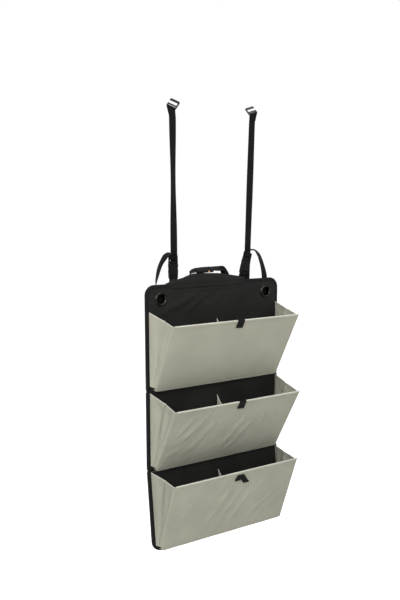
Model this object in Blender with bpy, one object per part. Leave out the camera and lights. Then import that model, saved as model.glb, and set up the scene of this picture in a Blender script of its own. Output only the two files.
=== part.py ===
"""Hanging three-pocket camping organizer, in metres, +Z up, front facing -Y.

Three stiffened back sections fold on two fabric strips. Each carries a pocket whose stiff front
swings on its bottom edge between pleated side gussets. Two webbing straps with hooks hold it up,
and two side-release buckles on the top edge take the straps that keep the folded pack shut.
The origin is midway between the two hooks, in the plane of the straps.
"""

import math

import bmesh
import bpy
from mathutils import Matrix, Vector

# Fits
GAP = 0.0003  # between two pieces that touch

# Back sections: front skin, stiffener and back skin, held together by an edge binding
PANEL_HALF_WIDTH = 0.259
SKIN = 0.001
STIFFENER = 0.0074
BINDING_CLOTH = 0.0012
BINDING_REACH = 0.009  # how far the binding laps onto each face
TOP_CORNER_RADIUS = 0.032
BOTTOM_CORNER_RADIUS = 0.030
SHARPEST_MITRE = 0.7  # cosine that limits how far webbing thickens in a bend
CORNER_STEPS = 6
POCKET_HEIGHT = 0.238  # from the foot of a pocket to the top of its gussets at the back
PANEL_ABOVE_POCKET = 0.081
PANEL_BELOW_POCKET = 0.008
PANEL_TOP_DROP = 0.541  # from the hooks down to the top edge of the panel
FOLD_GAP = 0.010  # between two back sections
FOLD_CLOTH = 0.001
FOLD_LAP = 0.007  # how far a fold strip laps onto each section
LOWER_TILT = math.radians(6.0)  # the lower section hangs with its bottom forward

# Pockets
FRONT_TOP_HALF_WIDTH = 0.2435
FRONT_BOTTOM_HALF_WIDTH = 0.2395
FRONT_LENGTH = 0.232  # along the slope
FRONT_THICKNESS = 0.004
FRONT_CLOTH = 0.001
FRONT_BOARD = 0.0024
POCKET_FOOT_DEPTH = 0.018  # from the back section to the outer face of the front, at the bottom
OPENING_DEGREES = {"upper": 27.5, "middle": 29.5, "lower": 26.0}
GUSSET_CLOTH = 0.001
GUSSET_TUCK = {"left": 0.010, "right": 0.002}  # how far in the pleat is drawn at the rim
GUSSET_FOOT_BACK = 0.012
GUSSET_FOOT_FRONT = 0.004
GUSSET_EDGE_INSET = 0.0025  # from the side edge of the front
HEM_HEIGHT = 0.010
HEM_CLOTH = 0.0008
HEM_END_INSET = 0.007
FLOOR_CLOTH = 0.001
DIVIDER_X = 0.005
DIVIDER_CLOTH = 0.001
DIVIDER_BACK_HEIGHT = 0.200
DIVIDER_BACK_FOOT = 0.010
DIVIDER_FRONT_HEIGHT = 0.166  # along the slope of the front
TAB_X = 0.006
TAB_WIDTH = 0.027
TAB_CLOTH = 0.0013
TAB_OUTER_LENGTH = 0.023
TAB_INNER_LENGTH = 0.013
LOOP_KICK = math.radians(24.0)  # the lowest tab stands off the pocket

# Eyelets in the top corners
EYELET_FROM_SIDE = 0.053
EYELET_BELOW_TOP = 0.044
EYELET_HOLE_RADIUS = 0.0140
EYELET_OUTER_RADIUS = 0.0210
EYELET_WALL = 0.001
EYELET_DOME = 0.0035
DOME_AT_HOLE = 0.45  # share of the dome's height at the edge of the hole
DOME_AT_RIM = 0.35
EYELET_SEGMENTS = 40
WASHER_THICKNESS = 0.0012

# Webbing straps
WEBBING_WIDTH = 0.025
WEBBING = 0.0014
STRAP_CENTRE_X = -0.005
STRAP_BASE_FROM_SIDE = 0.1165  # gives half the distance between the straps at the panel
STRAP_SEWN_LENGTH = 0.060
STRAP_TWIST_START = 0.135  # above the top edge of the panel
STRAP_TWIST = {"left": math.radians(20.0), "right": math.radians(-6.0)}
BINDING_STEP = 0.012  # sewn webbing climbs over the binding this far below the top edge

# Hooks at the strap ends
HOOK_CENTRE_X = 0.005
HOOK_SPREAD = 0.151
HOOK_WIDTH = 0.035
HOOK_HEIGHT = 0.029
HOOK_PLATE = 0.0032
HOOK_CORNER = 0.004
HOOK_BAR = 0.0045
HOOK_MOUTH = 0.0085  # open slot
HOOK_PITCH = {"left": math.radians(38.0), "right": math.radians(-34.0)}
HOOK_ROLL = math.radians(17.0)  # each outer end stands higher
HOOK_TAIL = 0.022
HOOK_APPROACH = 0.032

# Buckles: local +Z is the way the plug leaves, and zero is the mouth of the socket
BUCKLE_FROM_SIDE = {"left": 0.104, "right": 0.1275}
BUCKLE_LEAN = {"left": 0.0, "right": math.radians(17.0)}
BUCKLE_ABOVE_TOP = 0.0610  # from the top edge of the panel to the mouth
SOCKET_LENGTH = 0.0445
SOCKET_HALF_WIDTH = 0.0163
SOCKET_HALF_DEPTH = 0.0046
SOCKET_WAIST = 0.0012
CAVITY_HALF_WIDTH = 0.0128
CAVITY_HALF_DEPTH = 0.0032
CAVITY_LENGTH = 0.0265
WINDOW_TOP = 0.0085
WINDOW_LENGTH = 0.0125
BUCKLE_BAR = 0.0045
BAR_FLATNESS = 1.6  # the cavity's half depth over the bar's
RELIEF_SHARE = 0.7  # how near the relief beside the bar comes to the bar's middle
BUCKLE_SLOT = 0.0050
PLUG_HALF_WIDTH = 0.0158
PLUG_HALF_DEPTH = 0.0026
PLUG_HEIGHT = 0.0262
COLLAR_HEIGHT = 0.0072
COLLAR_HALF_DEPTH = 0.0043
LADDER_FOOT = 0.0092
LADDER_SLOT = 0.0050
LADDER_BAR = 0.0030
PRONG_CLEARANCE = 0.0004
PRONG_INNER = 0.0062
PRONG_OUTER = 0.0094
PRONG_LENGTH = 0.0250
PRONG_HALF_DEPTH = 0.0022
PAD_TOP = 0.0092
PAD_LENGTH = 0.0110
TONGUE_HALF_WIDTH = 0.0022
TONGUE_LENGTH = 0.0200
ANCHOR_SEWN_LENGTH = 0.040
ANCHOR_TAIL = 0.011
BUCKLE_TAIL = 0.016

# Closing straps: sewn on the back of the upper section, over its top edge and down to the plugs
CLOSING_FROM_SIDE = 0.046
CLOSING_SEWN = (0.252, 0.294)  # below the top edge of the panel

# Flap and handle on the top edge, x then height above the top edge of the panel.
# Their x follows the width of the panel.
TOP_DRAWN_HALF_WIDTH = 0.259  # half the width of the panel that these places were measured on
CROWN_PLACES = (
    (-0.1410, 0.0075),
    (-0.1200, 0.0184),
    (-0.0900, 0.0252),
    (-0.0400, 0.0256),
    (0.0100, 0.0228),
    (0.0600, 0.0176),
    (0.0800, 0.0124),
    (0.1000, 0.0095),
    (0.1180, 0.0052),
)
FLAP_LAP = 0.016
FLAP_CLOTH = 0.0014
FLAP_SIDE = 0.45  # share of the flap's height where its faces start to lean in
FLAP_SHOULDER = 0.85
HANDLE_Y = 0.010
HANDLE_WIDTH = 0.025
HANDLE_CLOTH = 0.0024
HANDLE_PLACES = (  # x, height of the middle line, forward tilt of the webbing in degrees
    (-0.0880, 0.0290, 6.0),
    (-0.0810, 0.0335, 12.0),
    (-0.0680, 0.0372, 21.0),
    (-0.0380, 0.0385, 24.0),
    (-0.0100, 0.0392, 25.0),
    (0.0150, 0.0402, 25.0),
    (0.0360, 0.0412, 20.0),
    (0.0440, 0.0370, 10.0),
    (0.0500, 0.0285, 4.0),
    (0.0545, 0.0210, 0.0),
)
HANDLE_FOOT_PLACES = (-0.1200, -0.1000, 0.0620, 0.0800)
HANDLE_STEPS = 3  # shares between two points of the run
GRIP_POINTS = (2, 4)  # the wrap covers the handle between these two points of its run
GRIP_WIDTH = 0.029
GRIP_ABOVE = 0.0016
GRIP_BELOW = 0.0038
STUD_RADIUS = 0.0030
STUD_HEIGHT = 0.0018

# Derived
BOARD = SKIN + GAP + STIFFENER + GAP + SKIN
BINDING_STAND = GAP + BINDING_CLOTH  # how far the binding stands out from each skin
BINDING_BACK = BOARD + BINDING_STAND
LAYER_INSET = BINDING_CLOTH + GAP
ANCHOR_Y = BINDING_BACK + GAP + WEBBING / 2
STRAP_Y = ANCHOR_Y + WEBBING + GAP
SEWN_Y = BOARD + GAP + WEBBING / 2
FRONT_Y = -STRAP_Y  # the front face of the back sections
SEAM_HALF_WIDTH = PANEL_HALF_WIDTH - BINDING_REACH - GAP  # gusset seams on a back section
FOLD_HALF_WIDTH = SEAM_HALF_WIDTH - GUSSET_CLOTH - 4 * GAP
FLOOR_HALF_WIDTH = FRONT_BOTTOM_HALF_WIDTH - GUSSET_CLOTH
EYELET_X = PANEL_HALF_WIDTH - EYELET_FROM_SIDE
CLOSING_X = PANEL_HALF_WIDTH - CLOSING_FROM_SIDE
STRAP_BASE_SPREAD = PANEL_HALF_WIDTH - STRAP_BASE_FROM_SIDE
BUCKLE_X = {
    "left": BUCKLE_FROM_SIDE["left"] - PANEL_HALF_WIDTH,
    "right": PANEL_HALF_WIDTH - BUCKLE_FROM_SIDE["right"],
}
TOP_SPREAD = PANEL_HALF_WIDTH / TOP_DRAWN_HALF_WIDTH
CROWN = tuple((x * TOP_SPREAD, height) for x, height in CROWN_PLACES)
HANDLE_RUN = tuple((x * TOP_SPREAD, height, tilt) for x, height, tilt in HANDLE_PLACES)
HANDLE_FEET = tuple(x * TOP_SPREAD for x in HANDLE_FOOT_PLACES)
UPPER_HEIGHT = POCKET_HEIGHT + PANEL_ABOVE_POCKET
UPPER_FOOT_Z = -PANEL_TOP_DROP - UPPER_HEIGHT
UPPER_FOLD_Z = UPPER_FOOT_Z - FOLD_GAP / 2
LOWER_FOLD_Z = UPPER_FOLD_Z - POCKET_HEIGHT - FOLD_GAP
UPPER_FOLD_DEPTH = -(BINDING_STAND + GAP)  # in front of the boards, so they close face to face
LOWER_FOLD_DEPTH = BINDING_BACK + GAP  # behind the boards, so they close back to back
BAR_WRAP = math.hypot(BUCKLE_BAR / 2, CAVITY_HALF_DEPTH / BAR_FLATNESS) + GAP + WEBBING / 2
LADDER_WRAP = math.hypot(LADDER_BAR / 2, PLUG_HALF_DEPTH) + GAP + WEBBING / 2
HOOK_WRAP = math.hypot(HOOK_BAR, HOOK_PLATE) / 2 + 3 * GAP + WEBBING / 2
SLOT_HALF_WIDTH = WEBBING_WIDTH / 2 + 3 * GAP
BUCKLE_Y = ANCHOR_Y - BAR_WRAP

COLOURS = {
    "black_fabric": ((0.017, 0.017, 0.016), 0.82, 0.0),
    "black_binding": ((0.012, 0.012, 0.012), 0.70, 0.0),
    "grey_fabric": ((0.37, 0.35, 0.29), 0.85, 0.0),
    "light_hem": ((0.66, 0.62, 0.55), 0.80, 0.0),
    "webbing": ((0.020, 0.020, 0.020), 0.75, 0.0),
    "buckle_plastic": ((0.022, 0.022, 0.023), 0.40, 0.0),
    "hook_metal": ((0.060, 0.060, 0.062), 0.35, 0.8),
    "eyelet_metal": ((0.100, 0.100, 0.105), 0.25, 1.0),
    "stiffener_board": ((0.25, 0.22, 0.18), 0.70, 0.0),
    "tan_stud": ((0.72, 0.42, 0.20), 0.50, 0.0),
}


def clear_scene():
    for obj in list(bpy.data.objects):
        bpy.data.objects.remove(obj, do_unlink=True)


def make_materials():
    for name, (colour, roughness, metallic) in COLOURS.items():
        material = bpy.data.materials.new(name)
        material.use_nodes = True
        shader = material.node_tree.nodes["Principled BSDF"]
        shader.inputs["Base Color"].default_value = (*colour, 1.0)
        shader.inputs["Roughness"].default_value = roughness
        shader.inputs["Metallic"].default_value = metallic
        material.diffuse_color = (*colour, 1.0)


def make_empty(name, parent, location, rotation=(0.0, 0.0, 0.0)):
    empty = bpy.data.objects.new(name, None)
    bpy.context.scene.collection.objects.link(empty)
    empty.parent = parent
    empty.location = location
    empty.rotation_euler = rotation
    return empty


def make_object(name, bm, finish, parent, location=(0.0, 0.0, 0.0)):
    bmesh.ops.recalc_face_normals(bm, faces=bm.faces)
    if bm.calc_volume(signed=True) < 0.0:
        bmesh.ops.reverse_faces(bm, faces=bm.faces)
    mesh = bpy.data.meshes.new(name)
    bm.to_mesh(mesh)
    bm.free()
    if finish:
        mesh.materials.append(bpy.data.materials[finish])
    obj = bpy.data.objects.new(name, mesh)
    bpy.context.scene.collection.objects.link(obj)
    obj.parent = parent
    obj.location = location
    return obj


def cut(obj, name, bm, parent, location=(0.0, 0.0, 0.0)):
    cutter = make_object(name, bm, None, parent, location)
    cutter.hide_render = True
    cutter.display_type = "WIRE"
    apply_cutter(obj, cutter)
    return cutter


def apply_cutter(obj, cutter):
    modifier = obj.modifiers.new("cut_" + cutter.name, "BOOLEAN")
    modifier.operation = "DIFFERENCE"
    modifier.solver = "EXACT"
    modifier.object = cutter


def soften(obj, width):
    modifier = obj.modifiers.new("soft_edges", "BEVEL")
    modifier.width = width
    modifier.segments = 1
    modifier.limit_method = "ANGLE"
    modifier.angle_limit = math.radians(40.0)


def shade_round(obj):
    obj.data.shade_smooth()
    obj.data.set_sharp_from_angle(angle=math.radians(35.0))


def extruded_mesh(points, shift):
    """A flat outline pushed along shift into a solid."""
    bm = bmesh.new()
    face = bm.faces.new([bm.verts.new(point) for point in points])
    moved = bmesh.ops.extrude_face_region(bm, geom=[face])["geom"]
    verts = [item for item in moved if isinstance(item, bmesh.types.BMVert)]
    bmesh.ops.translate(bm, vec=shift, verts=verts)
    return bm


def plate_mesh(outline, y_front, y_back):
    """An outline of (x, z) points between two depths."""
    points = [(x, y_front, z) for x, z in outline]
    return extruded_mesh(points, (0.0, y_back - y_front, 0.0))


def side_plate_mesh(outline, x_left, x_right):
    """An outline of (y, z) points between two sides."""
    points = [(x_left, y, z) for y, z in outline]
    return extruded_mesh(points, (x_right - x_left, 0.0, 0.0))


def box_mesh(low, high):
    outline = [(low[0], low[2]), (high[0], low[2]), (high[0], high[2]), (low[0], high[2])]
    return plate_mesh(outline, low[1], high[1])


def sweep_mesh(rings, closed=False):
    """A solid through rings of points: capped at both ends, or closed on itself."""
    bm = bmesh.new()
    loops = [[bm.verts.new(point) for point in ring] for ring in rings]
    pairs = list(zip(loops, loops[1:]))
    if closed:
        pairs.append((loops[-1], loops[0]))
    else:
        bm.faces.new(loops[0])
        bm.faces.new(loops[-1])
    count = len(loops[0])
    for here, there in pairs:
        for i in range(count):
            j = (i + 1) % count
            bm.faces.new((here[i], here[j], there[j], there[i]))
    return bm


def sheet_mesh(face, back):
    """Cloth between two like grids of points, cut into the same triangles on both sides."""
    bm = bmesh.new()
    rows = len(face)
    columns = len(face[0])
    near = [[bm.verts.new(point) for point in row] for row in face]
    far = [[bm.verts.new(point) for point in row] for row in back]
    for grid in (near, far):
        for i in range(rows - 1):
            for j in range(columns - 1):
                bm.faces.new((grid[i][j], grid[i + 1][j], grid[i + 1][j + 1]))
                bm.faces.new((grid[i][j], grid[i + 1][j + 1], grid[i][j + 1]))
    rim = [(0, j) for j in range(columns)]
    rim += [(i, columns - 1) for i in range(1, rows)]
    rim += [(rows - 1, j) for j in range(columns - 2, -1, -1)]
    rim += [(i, 0) for i in range(rows - 2, 0, -1)]
    for (i, j), (k, m) in zip(rim, rim[1:] + rim[:1]):
        bm.faces.new((near[i][j], near[k][m], far[k][m], far[i][j]))
    return bm


def turned_mesh(profile):
    """A ring about the Y axis from a closed profile of (radius, y) points."""
    rings = []
    for step in range(EYELET_SEGMENTS):
        angle = 2 * math.pi * step / EYELET_SEGMENTS
        rings.append([(r * math.cos(angle), y, r * math.sin(angle)) for r, y in profile])
    return sweep_mesh(rings, closed=True)


def ribbon_mesh(points, sides, width, thickness):
    """Flat webbing along points, its width along the unit vectors in sides."""
    rings = []
    for i, point in enumerate(points):
        after = (points[min(i + 1, len(points) - 1)] - points[min(i, len(points) - 2)]).normalized()
        before = (points[max(i, 1)] - points[max(i - 1, 0)]).normalized()
        run = (before + after).normalized()
        mitre = 1.0 / max(run.dot(after), SHARPEST_MITRE)
        half_side = sides[i] * width / 2
        half_face = run.cross(sides[i]).normalized() * thickness / 2 * mitre
        rings.append(
            [
                point + half_side + half_face,
                point - half_side + half_face,
                point - half_side - half_face,
                point + half_side - half_face,
            ]
        )
    return sweep_mesh(rings)


def smooth_run(stations, steps):
    """Equal shares of a smooth curve through stations of any number of values (Catmull-Rom)."""
    size = len(stations[0])
    first = [2 * stations[0][k] - stations[1][k] for k in range(size)]
    last = [2 * stations[-1][k] - stations[-2][k] for k in range(size)]
    ends = [first, *stations, last]
    run = []
    for a, b, c, d in zip(ends, ends[1:], ends[2:], ends[3:]):
        for step in range(steps):
            t = step / steps
            run.append(
                [
                    0.5
                    * (
                        2 * b[k]
                        + (c[k] - a[k]) * t
                        + (2 * a[k] - 5 * b[k] + 4 * c[k] - d[k]) * t**2
                        + (3 * b[k] - a[k] - 3 * c[k] + d[k]) * t**3
                    )
                    for k in range(size)
                ]
            )
    run.append(list(stations[-1]))
    return run


def arc_points(centre, radius, start, end, steps):
    """(x, z, outward x, outward z) along an arc, angles in radians from the X axis."""
    found = []
    for step in range(steps + 1):
        angle = start + (end - start) * step / steps
        out_x = math.cos(angle)
        out_z = math.sin(angle)
        found.append((centre[0] + radius * out_x, centre[1] + radius * out_z, out_x, out_z))
    return found


def arch_edge(half, bottom, top, radius):
    """Open edge with rounded top corners, from bottom left to bottom right."""
    centre_z = top - radius
    left = arc_points((radius - half, centre_z), radius, math.pi, math.pi / 2, CORNER_STEPS)
    right = arc_points((half - radius, centre_z), radius, math.pi / 2, 0.0, CORNER_STEPS)
    return [(-half, bottom, -1.0, 0.0), *left, *right, (half, bottom, 1.0, 0.0)]


def tray_edge(half, bottom, top, radius):
    """Open edge with rounded bottom corners, from top right to top left."""
    centre_z = bottom + radius
    right = arc_points((half - radius, centre_z), radius, 0.0, -math.pi / 2, CORNER_STEPS)
    left = arc_points((radius - half, centre_z), radius, -math.pi / 2, -math.pi, CORNER_STEPS)
    return [(half, top, 1.0, 0.0), *right, *left, (-half, top, -1.0, 0.0)]


def inset_outline(edge, inset):
    return [(x - out_x * inset, z - out_z * inset) for x, z, out_x, out_z in edge]


def build_binding(name, edge, parent, base):
    """Folded tape of U section round an edge. Profile points are (inward, y)."""
    back = BOARD + GAP
    profile = [
        (0.0, -BINDING_STAND),
        (0.0, BINDING_BACK),
        (BINDING_REACH, BINDING_BACK),
        (BINDING_REACH, back),
        (BINDING_CLOTH, back),
        (BINDING_CLOTH, -GAP),
        (BINDING_REACH, -GAP),
        (BINDING_REACH, -BINDING_STAND),
    ]
    rings = []
    for x, z, out_x, out_z in edge:
        rings.append([(x - out_x * inward, y, z - out_z * inward) for inward, y in profile])
    make_object(name, sweep_mesh(rings), "black_binding", parent, base)


def build_layers(name, outline, parent, base):
    """Front skin, stiffener and back skin of one section."""
    layers = (
        ("front_skin", 0.0, SKIN, "black_fabric"),
        ("stiffener", SKIN + GAP, SKIN + GAP + STIFFENER, "stiffener_board"),
        ("back_skin", BOARD - SKIN, BOARD, "black_fabric"),
    )
    made = []
    for part, front, back, finish in layers:
        mesh = plate_mesh(outline, front, back)
        made.append(make_object(f"{name}_{part}", mesh, finish, parent, base))
    return made


def front_outline(inset, bottom, top):
    """The tapered outline of a pocket front, drawn in by inset at both sides."""
    taper = (FRONT_TOP_HALF_WIDTH - FRONT_BOTTOM_HALF_WIDTH) / FRONT_LENGTH
    low = FRONT_BOTTOM_HALF_WIDTH + taper * bottom - inset
    high = FRONT_BOTTOM_HALF_WIDTH + taper * top - inset
    return [(-low, bottom), (low, bottom), (high, top), (-high, top)]


def build_pocket_front(name, hinge):
    """Cloth tray over a board, with its hem and pull tab, on the empty at the pocket's hinge."""
    whole = plate_mesh(front_outline(0.0, 0.0, FRONT_LENGTH), 0.0, FRONT_THICKNESS)
    tray = make_object(f"{name}_pocket_front", whole, "grey_fabric", hinge)
    recess_outline = front_outline(FRONT_CLOTH, FRONT_CLOTH, FRONT_LENGTH + FRONT_CLOTH)
    recess = plate_mesh(recess_outline, FRONT_CLOTH, FRONT_THICKNESS + FRONT_CLOTH)
    cut(tray, f"{name}_front_recess", recess, hinge)
    low = FRONT_CLOTH + GAP
    board = plate_mesh(front_outline(low, low, FRONT_LENGTH - GAP), low, low + FRONT_BOARD)
    make_object(f"{name}_pocket_stiffener", board, "stiffener_board", hinge)
    build_hem(name, hinge)
    build_pull_tab(name, hinge)


def build_hem(name, hinge):
    """Light tape folded over the top edge of the front."""
    outer = -GAP - HEM_CLOTH
    inner = FRONT_THICKNESS + GAP + HEM_CLOTH
    crown = FRONT_LENGTH + GAP + HEM_CLOTH
    foot = FRONT_LENGTH - HEM_HEIGHT
    profile = [
        (outer, foot),
        (outer, crown),
        (inner, crown),
        (inner, foot),
        (inner - HEM_CLOTH, foot),
        (inner - HEM_CLOTH, crown - HEM_CLOTH),
        (outer + HEM_CLOTH, crown - HEM_CLOTH),
        (outer + HEM_CLOTH, foot),
    ]
    reach = FRONT_TOP_HALF_WIDTH - HEM_END_INSET
    make_object(f"{name}_pocket_hem", side_plate_mesh(profile, -reach, reach), "light_hem", hinge)


def build_pull_tab(name, hinge):
    """Webbing folded over the hem. The lowest one stands off the front."""
    stand = GAP + HEM_CLOTH + GAP + TAB_CLOTH / 2
    outer = -stand
    inner = FRONT_THICKNESS + stand
    crown = FRONT_LENGTH + stand
    kick = LOOP_KICK if name == "lower" else 0.0
    tip_y = outer - TAB_OUTER_LENGTH * math.sin(kick)
    tip_z = crown - TAB_OUTER_LENGTH * math.cos(kick)
    route = [(inner, crown - TAB_INNER_LENGTH), (inner, crown), (outer, crown), (tip_y, tip_z)]
    points = [Vector((TAB_X, y, z)) for y, z in route]
    sides = [Vector((1.0, 0.0, 0.0))] * len(points)
    mesh = ribbon_mesh(points, sides, TAB_WIDTH, TAB_CLOTH)
    make_object(f"{name}_pull_tab", mesh, "webbing", hinge)


def behind_front(distance, opening):
    """(y, z) just behind the inner face of an open front, at a distance up its slope."""
    depth = FRONT_THICKNESS + GAP
    y = -POCKET_FOOT_DEPTH - distance * math.sin(opening) + depth * math.cos(opening)
    z = distance * math.cos(opening) + depth * math.sin(opening)
    return y, z


def gusset_mesh(side, tuck, opening, seat):
    """One pleated side: two panels of cloth meeting in a crease drawn inwards at the rim."""
    rim_x = FRONT_TOP_HALF_WIDTH - GUSSET_EDGE_INSET
    foot_x = FRONT_BOTTOM_HALF_WIDTH - GUSSET_EDGE_INSET
    back_top = Vector((SEAM_HALF_WIDTH, -GAP, POCKET_HEIGHT))
    back_foot = Vector((SEAM_HALF_WIDTH, seat, GUSSET_FOOT_BACK))
    front_top = Vector((rim_x, *behind_front(FRONT_LENGTH - GUSSET_EDGE_INSET, opening)))
    front_foot = Vector((foot_x, *behind_front(GUSSET_FOOT_FRONT, opening)))
    crease_top = (back_top + front_top) / 2 - Vector((tuck, 0.0, 0.0))
    crease_foot = (back_foot + front_foot) / 2
    lines = ((back_top, back_foot), (crease_top, crease_foot), (front_top, front_foot))
    sheets = []
    for inset in (0.0, GUSSET_CLOTH):
        sheets.append([[(side * (p.x - inset), p.y, p.z) for p in line] for line in lines])
    return sheet_mesh(*sheets)


def divider_mesh(opening):
    """The cloth wall that halves a pocket, from the back section to the front."""
    outline = [
        (-GAP, DIVIDER_BACK_FOOT),
        behind_front(GUSSET_FOOT_FRONT, opening),
        behind_front(DIVIDER_FRONT_HEIGHT, opening),
        (-GAP, DIVIDER_BACK_HEIGHT),
    ]
    half = DIVIDER_CLOTH / 2
    return side_plate_mesh(outline, DIVIDER_X - half, DIVIDER_X + half)


def build_pocket(name, parent, base, seat):
    """Floor, gussets, divider and hinged front of one pocket.

    base is the foot line, and seat is the depth of what the foot rests on behind.
    """
    opening = math.radians(OPENING_DEGREES[name])
    floor_front = FRONT_THICKNESS - POCKET_FOOT_DEPTH + 2 * GAP
    low = (-FLOOR_HALF_WIDTH, floor_front, 0.0)
    high = (FLOOR_HALF_WIDTH, seat, FLOOR_CLOTH)
    make_object(f"{name}_pocket_floor", box_mesh(low, high), "grey_fabric", parent, base)
    for side_name, side in (("left", -1), ("right", 1)):
        mesh = gusset_mesh(side, GUSSET_TUCK[side_name], opening, seat)
        make_object(f"{name}_{side_name}_gusset", mesh, "grey_fabric", parent, base)
    make_object(f"{name}_divider", divider_mesh(opening), "grey_fabric", parent, base)
    foot = Vector(base) + Vector((0.0, -POCKET_FOOT_DEPTH, 0.0))
    hinge = make_empty(f"{name}_pocket_hinge", parent, foot, (opening, 0.0, 0.0))
    build_pocket_front(name, hinge)


def build_eyelets(layers, parent, base):
    """Both eyelets and their back washers, through holes in the layers."""
    barrel = EYELET_HOLE_RADIUS + EYELET_WALL
    barrel_end = BOARD + GAP + WASHER_THICKNESS
    middle = (EYELET_HOLE_RADIUS + EYELET_OUTER_RADIUS) / 2
    flange = [
        (EYELET_HOLE_RADIUS, barrel_end),
        (EYELET_HOLE_RADIUS, -GAP - EYELET_DOME * DOME_AT_HOLE),
        (middle - EYELET_WALL, -GAP - EYELET_DOME),
        (middle + EYELET_WALL, -GAP - EYELET_DOME),
        (EYELET_OUTER_RADIUS, -GAP - EYELET_DOME * DOME_AT_RIM),
        (EYELET_OUTER_RADIUS, -GAP),
        (barrel, -GAP),
        (barrel, barrel_end),
    ]
    washer = [
        (barrel + GAP, BOARD + GAP),
        (EYELET_OUTER_RADIUS, BOARD + GAP),
        (EYELET_OUTER_RADIUS - EYELET_WALL, barrel_end),
        (barrel + GAP, barrel_end),
    ]
    circle = arc_points((0.0, 0.0), barrel + GAP, 0.0, 2 * math.pi, EYELET_SEGMENTS)[:-1]
    hole_outline = [(x, z) for x, z, _, _ in circle]
    for side_name, side in (("left", -1), ("right", 1)):
        offset = Vector((side * EYELET_X, 0.0, UPPER_HEIGHT - EYELET_BELOW_TOP))
        place = Vector(base) + offset
        hole = plate_mesh(hole_outline, -BOARD, 2 * BOARD)
        cutter = cut(layers[0], f"{side_name}_eyelet_hole", hole, parent, place)
        for layer in layers[1:]:
            apply_cutter(layer, cutter)
        eyelet_name = f"{side_name}_eyelet"
        shade_round(make_object(eyelet_name, turned_mesh(flange), "eyelet_metal", parent, place))
        washer_name = f"{side_name}_eyelet_washer"
        shade_round(make_object(washer_name, turned_mesh(washer), "eyelet_metal", parent, place))


def crown_height(x):
    for (x0, z0), (x1, z1) in zip(CROWN, CROWN[1:]):
        if x <= x1:
            return z0 + (z1 - z0) * (x - x0) / (x1 - x0)
    return CROWN[-1][1]


def build_flap(parent, base):
    """Padded flap over the middle of the top edge, lapping down the front."""
    inside = -BINDING_STAND - GAP
    outside = inside - FLAP_CLOTH
    back = BOARD
    middle = (outside + back) / 2
    rings = []
    for x, height in CROWN:
        profile = [
            (inside, -FLAP_LAP),
            (inside, GAP),
            (back, GAP),
            (back, height * FLAP_SIDE),
            (back - FLAP_CLOTH, height * FLAP_SHOULDER),
            (middle, height),
            (outside + FLAP_CLOTH, height * FLAP_SHOULDER),
            (outside, height * FLAP_SIDE),
            (outside, -FLAP_LAP),
        ]
        rings.append([(x, y, z) for y, z in profile])
    flap = make_object("handle_flap", sweep_mesh(rings), "black_fabric", parent, base)
    shade_round(flap)


def handle_side(tilt):
    return Vector((0.0, math.cos(math.radians(tilt)), math.sin(math.radians(tilt))))


def build_handle(parent, base):
    """Low webbing arch on the flap, with a padded wrap round its middle and a stud on the wrap."""
    rest = GAP + HANDLE_CLOTH / 2
    feet = [(x, crown_height(x) + rest, 0.0) for x in HANDLE_FEET]
    stations = [*feet[:2], *HANDLE_RUN, *feet[2:]]
    run = [feet[0], *smooth_run(stations[1:-1], HANDLE_STEPS), feet[-1]]
    points = [Vector((x, HANDLE_Y, z)) for x, z, _ in run]
    sides = [handle_side(tilt) for _, _, tilt in run]
    handle_mesh = ribbon_mesh(points, sides, HANDLE_WIDTH, HANDLE_CLOTH)
    shade_round(make_object("carry_handle", handle_mesh, "webbing", parent, base))

    first, last = (1 + (point + 1) * HANDLE_STEPS for point in GRIP_POINTS)
    drop = (GRIP_BELOW - GRIP_ABOVE) / 2
    wrap_points = [point - Vector((0.0, 0.0, drop)) for point in points[first : last + 1]]
    wrap_thickness = HANDLE_CLOTH + 2 * GAP + GRIP_ABOVE + GRIP_BELOW
    wrap_mesh = ribbon_mesh(wrap_points, sides[first : last + 1], GRIP_WIDTH, wrap_thickness)
    wrap = make_object("handle_grip_wrap", wrap_mesh, "webbing", parent, base)
    room_points = points[first - 1 : last + 2]
    room_sides = sides[first - 1 : last + 2]
    room = ribbon_mesh(room_points, room_sides, HANDLE_WIDTH + 2 * GAP, HANDLE_CLOTH + 2 * GAP)
    cut(wrap, "grip_room", room, parent, base)

    middle = wrap_points[len(wrap_points) * 2 // 3]
    tilt = sides[(first + last) // 2]
    stud_place = Vector(base) + middle - tilt * (GRIP_WIDTH / 2 + GAP + STUD_HEIGHT)
    circle = arc_points((0.0, 0.0), STUD_RADIUS, 0.0, 2 * math.pi, EYELET_SEGMENTS)[:-1]
    outline = [(x, z) for x, z, _, _ in circle]
    stud = make_object(
        "handle_stud", plate_mesh(outline, 0.0, STUD_HEIGHT), "tan_stud", parent, stud_place
    )
    stud.rotation_euler = (math.atan2(tilt.z, tilt.y), 0.0, 0.0)


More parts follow.
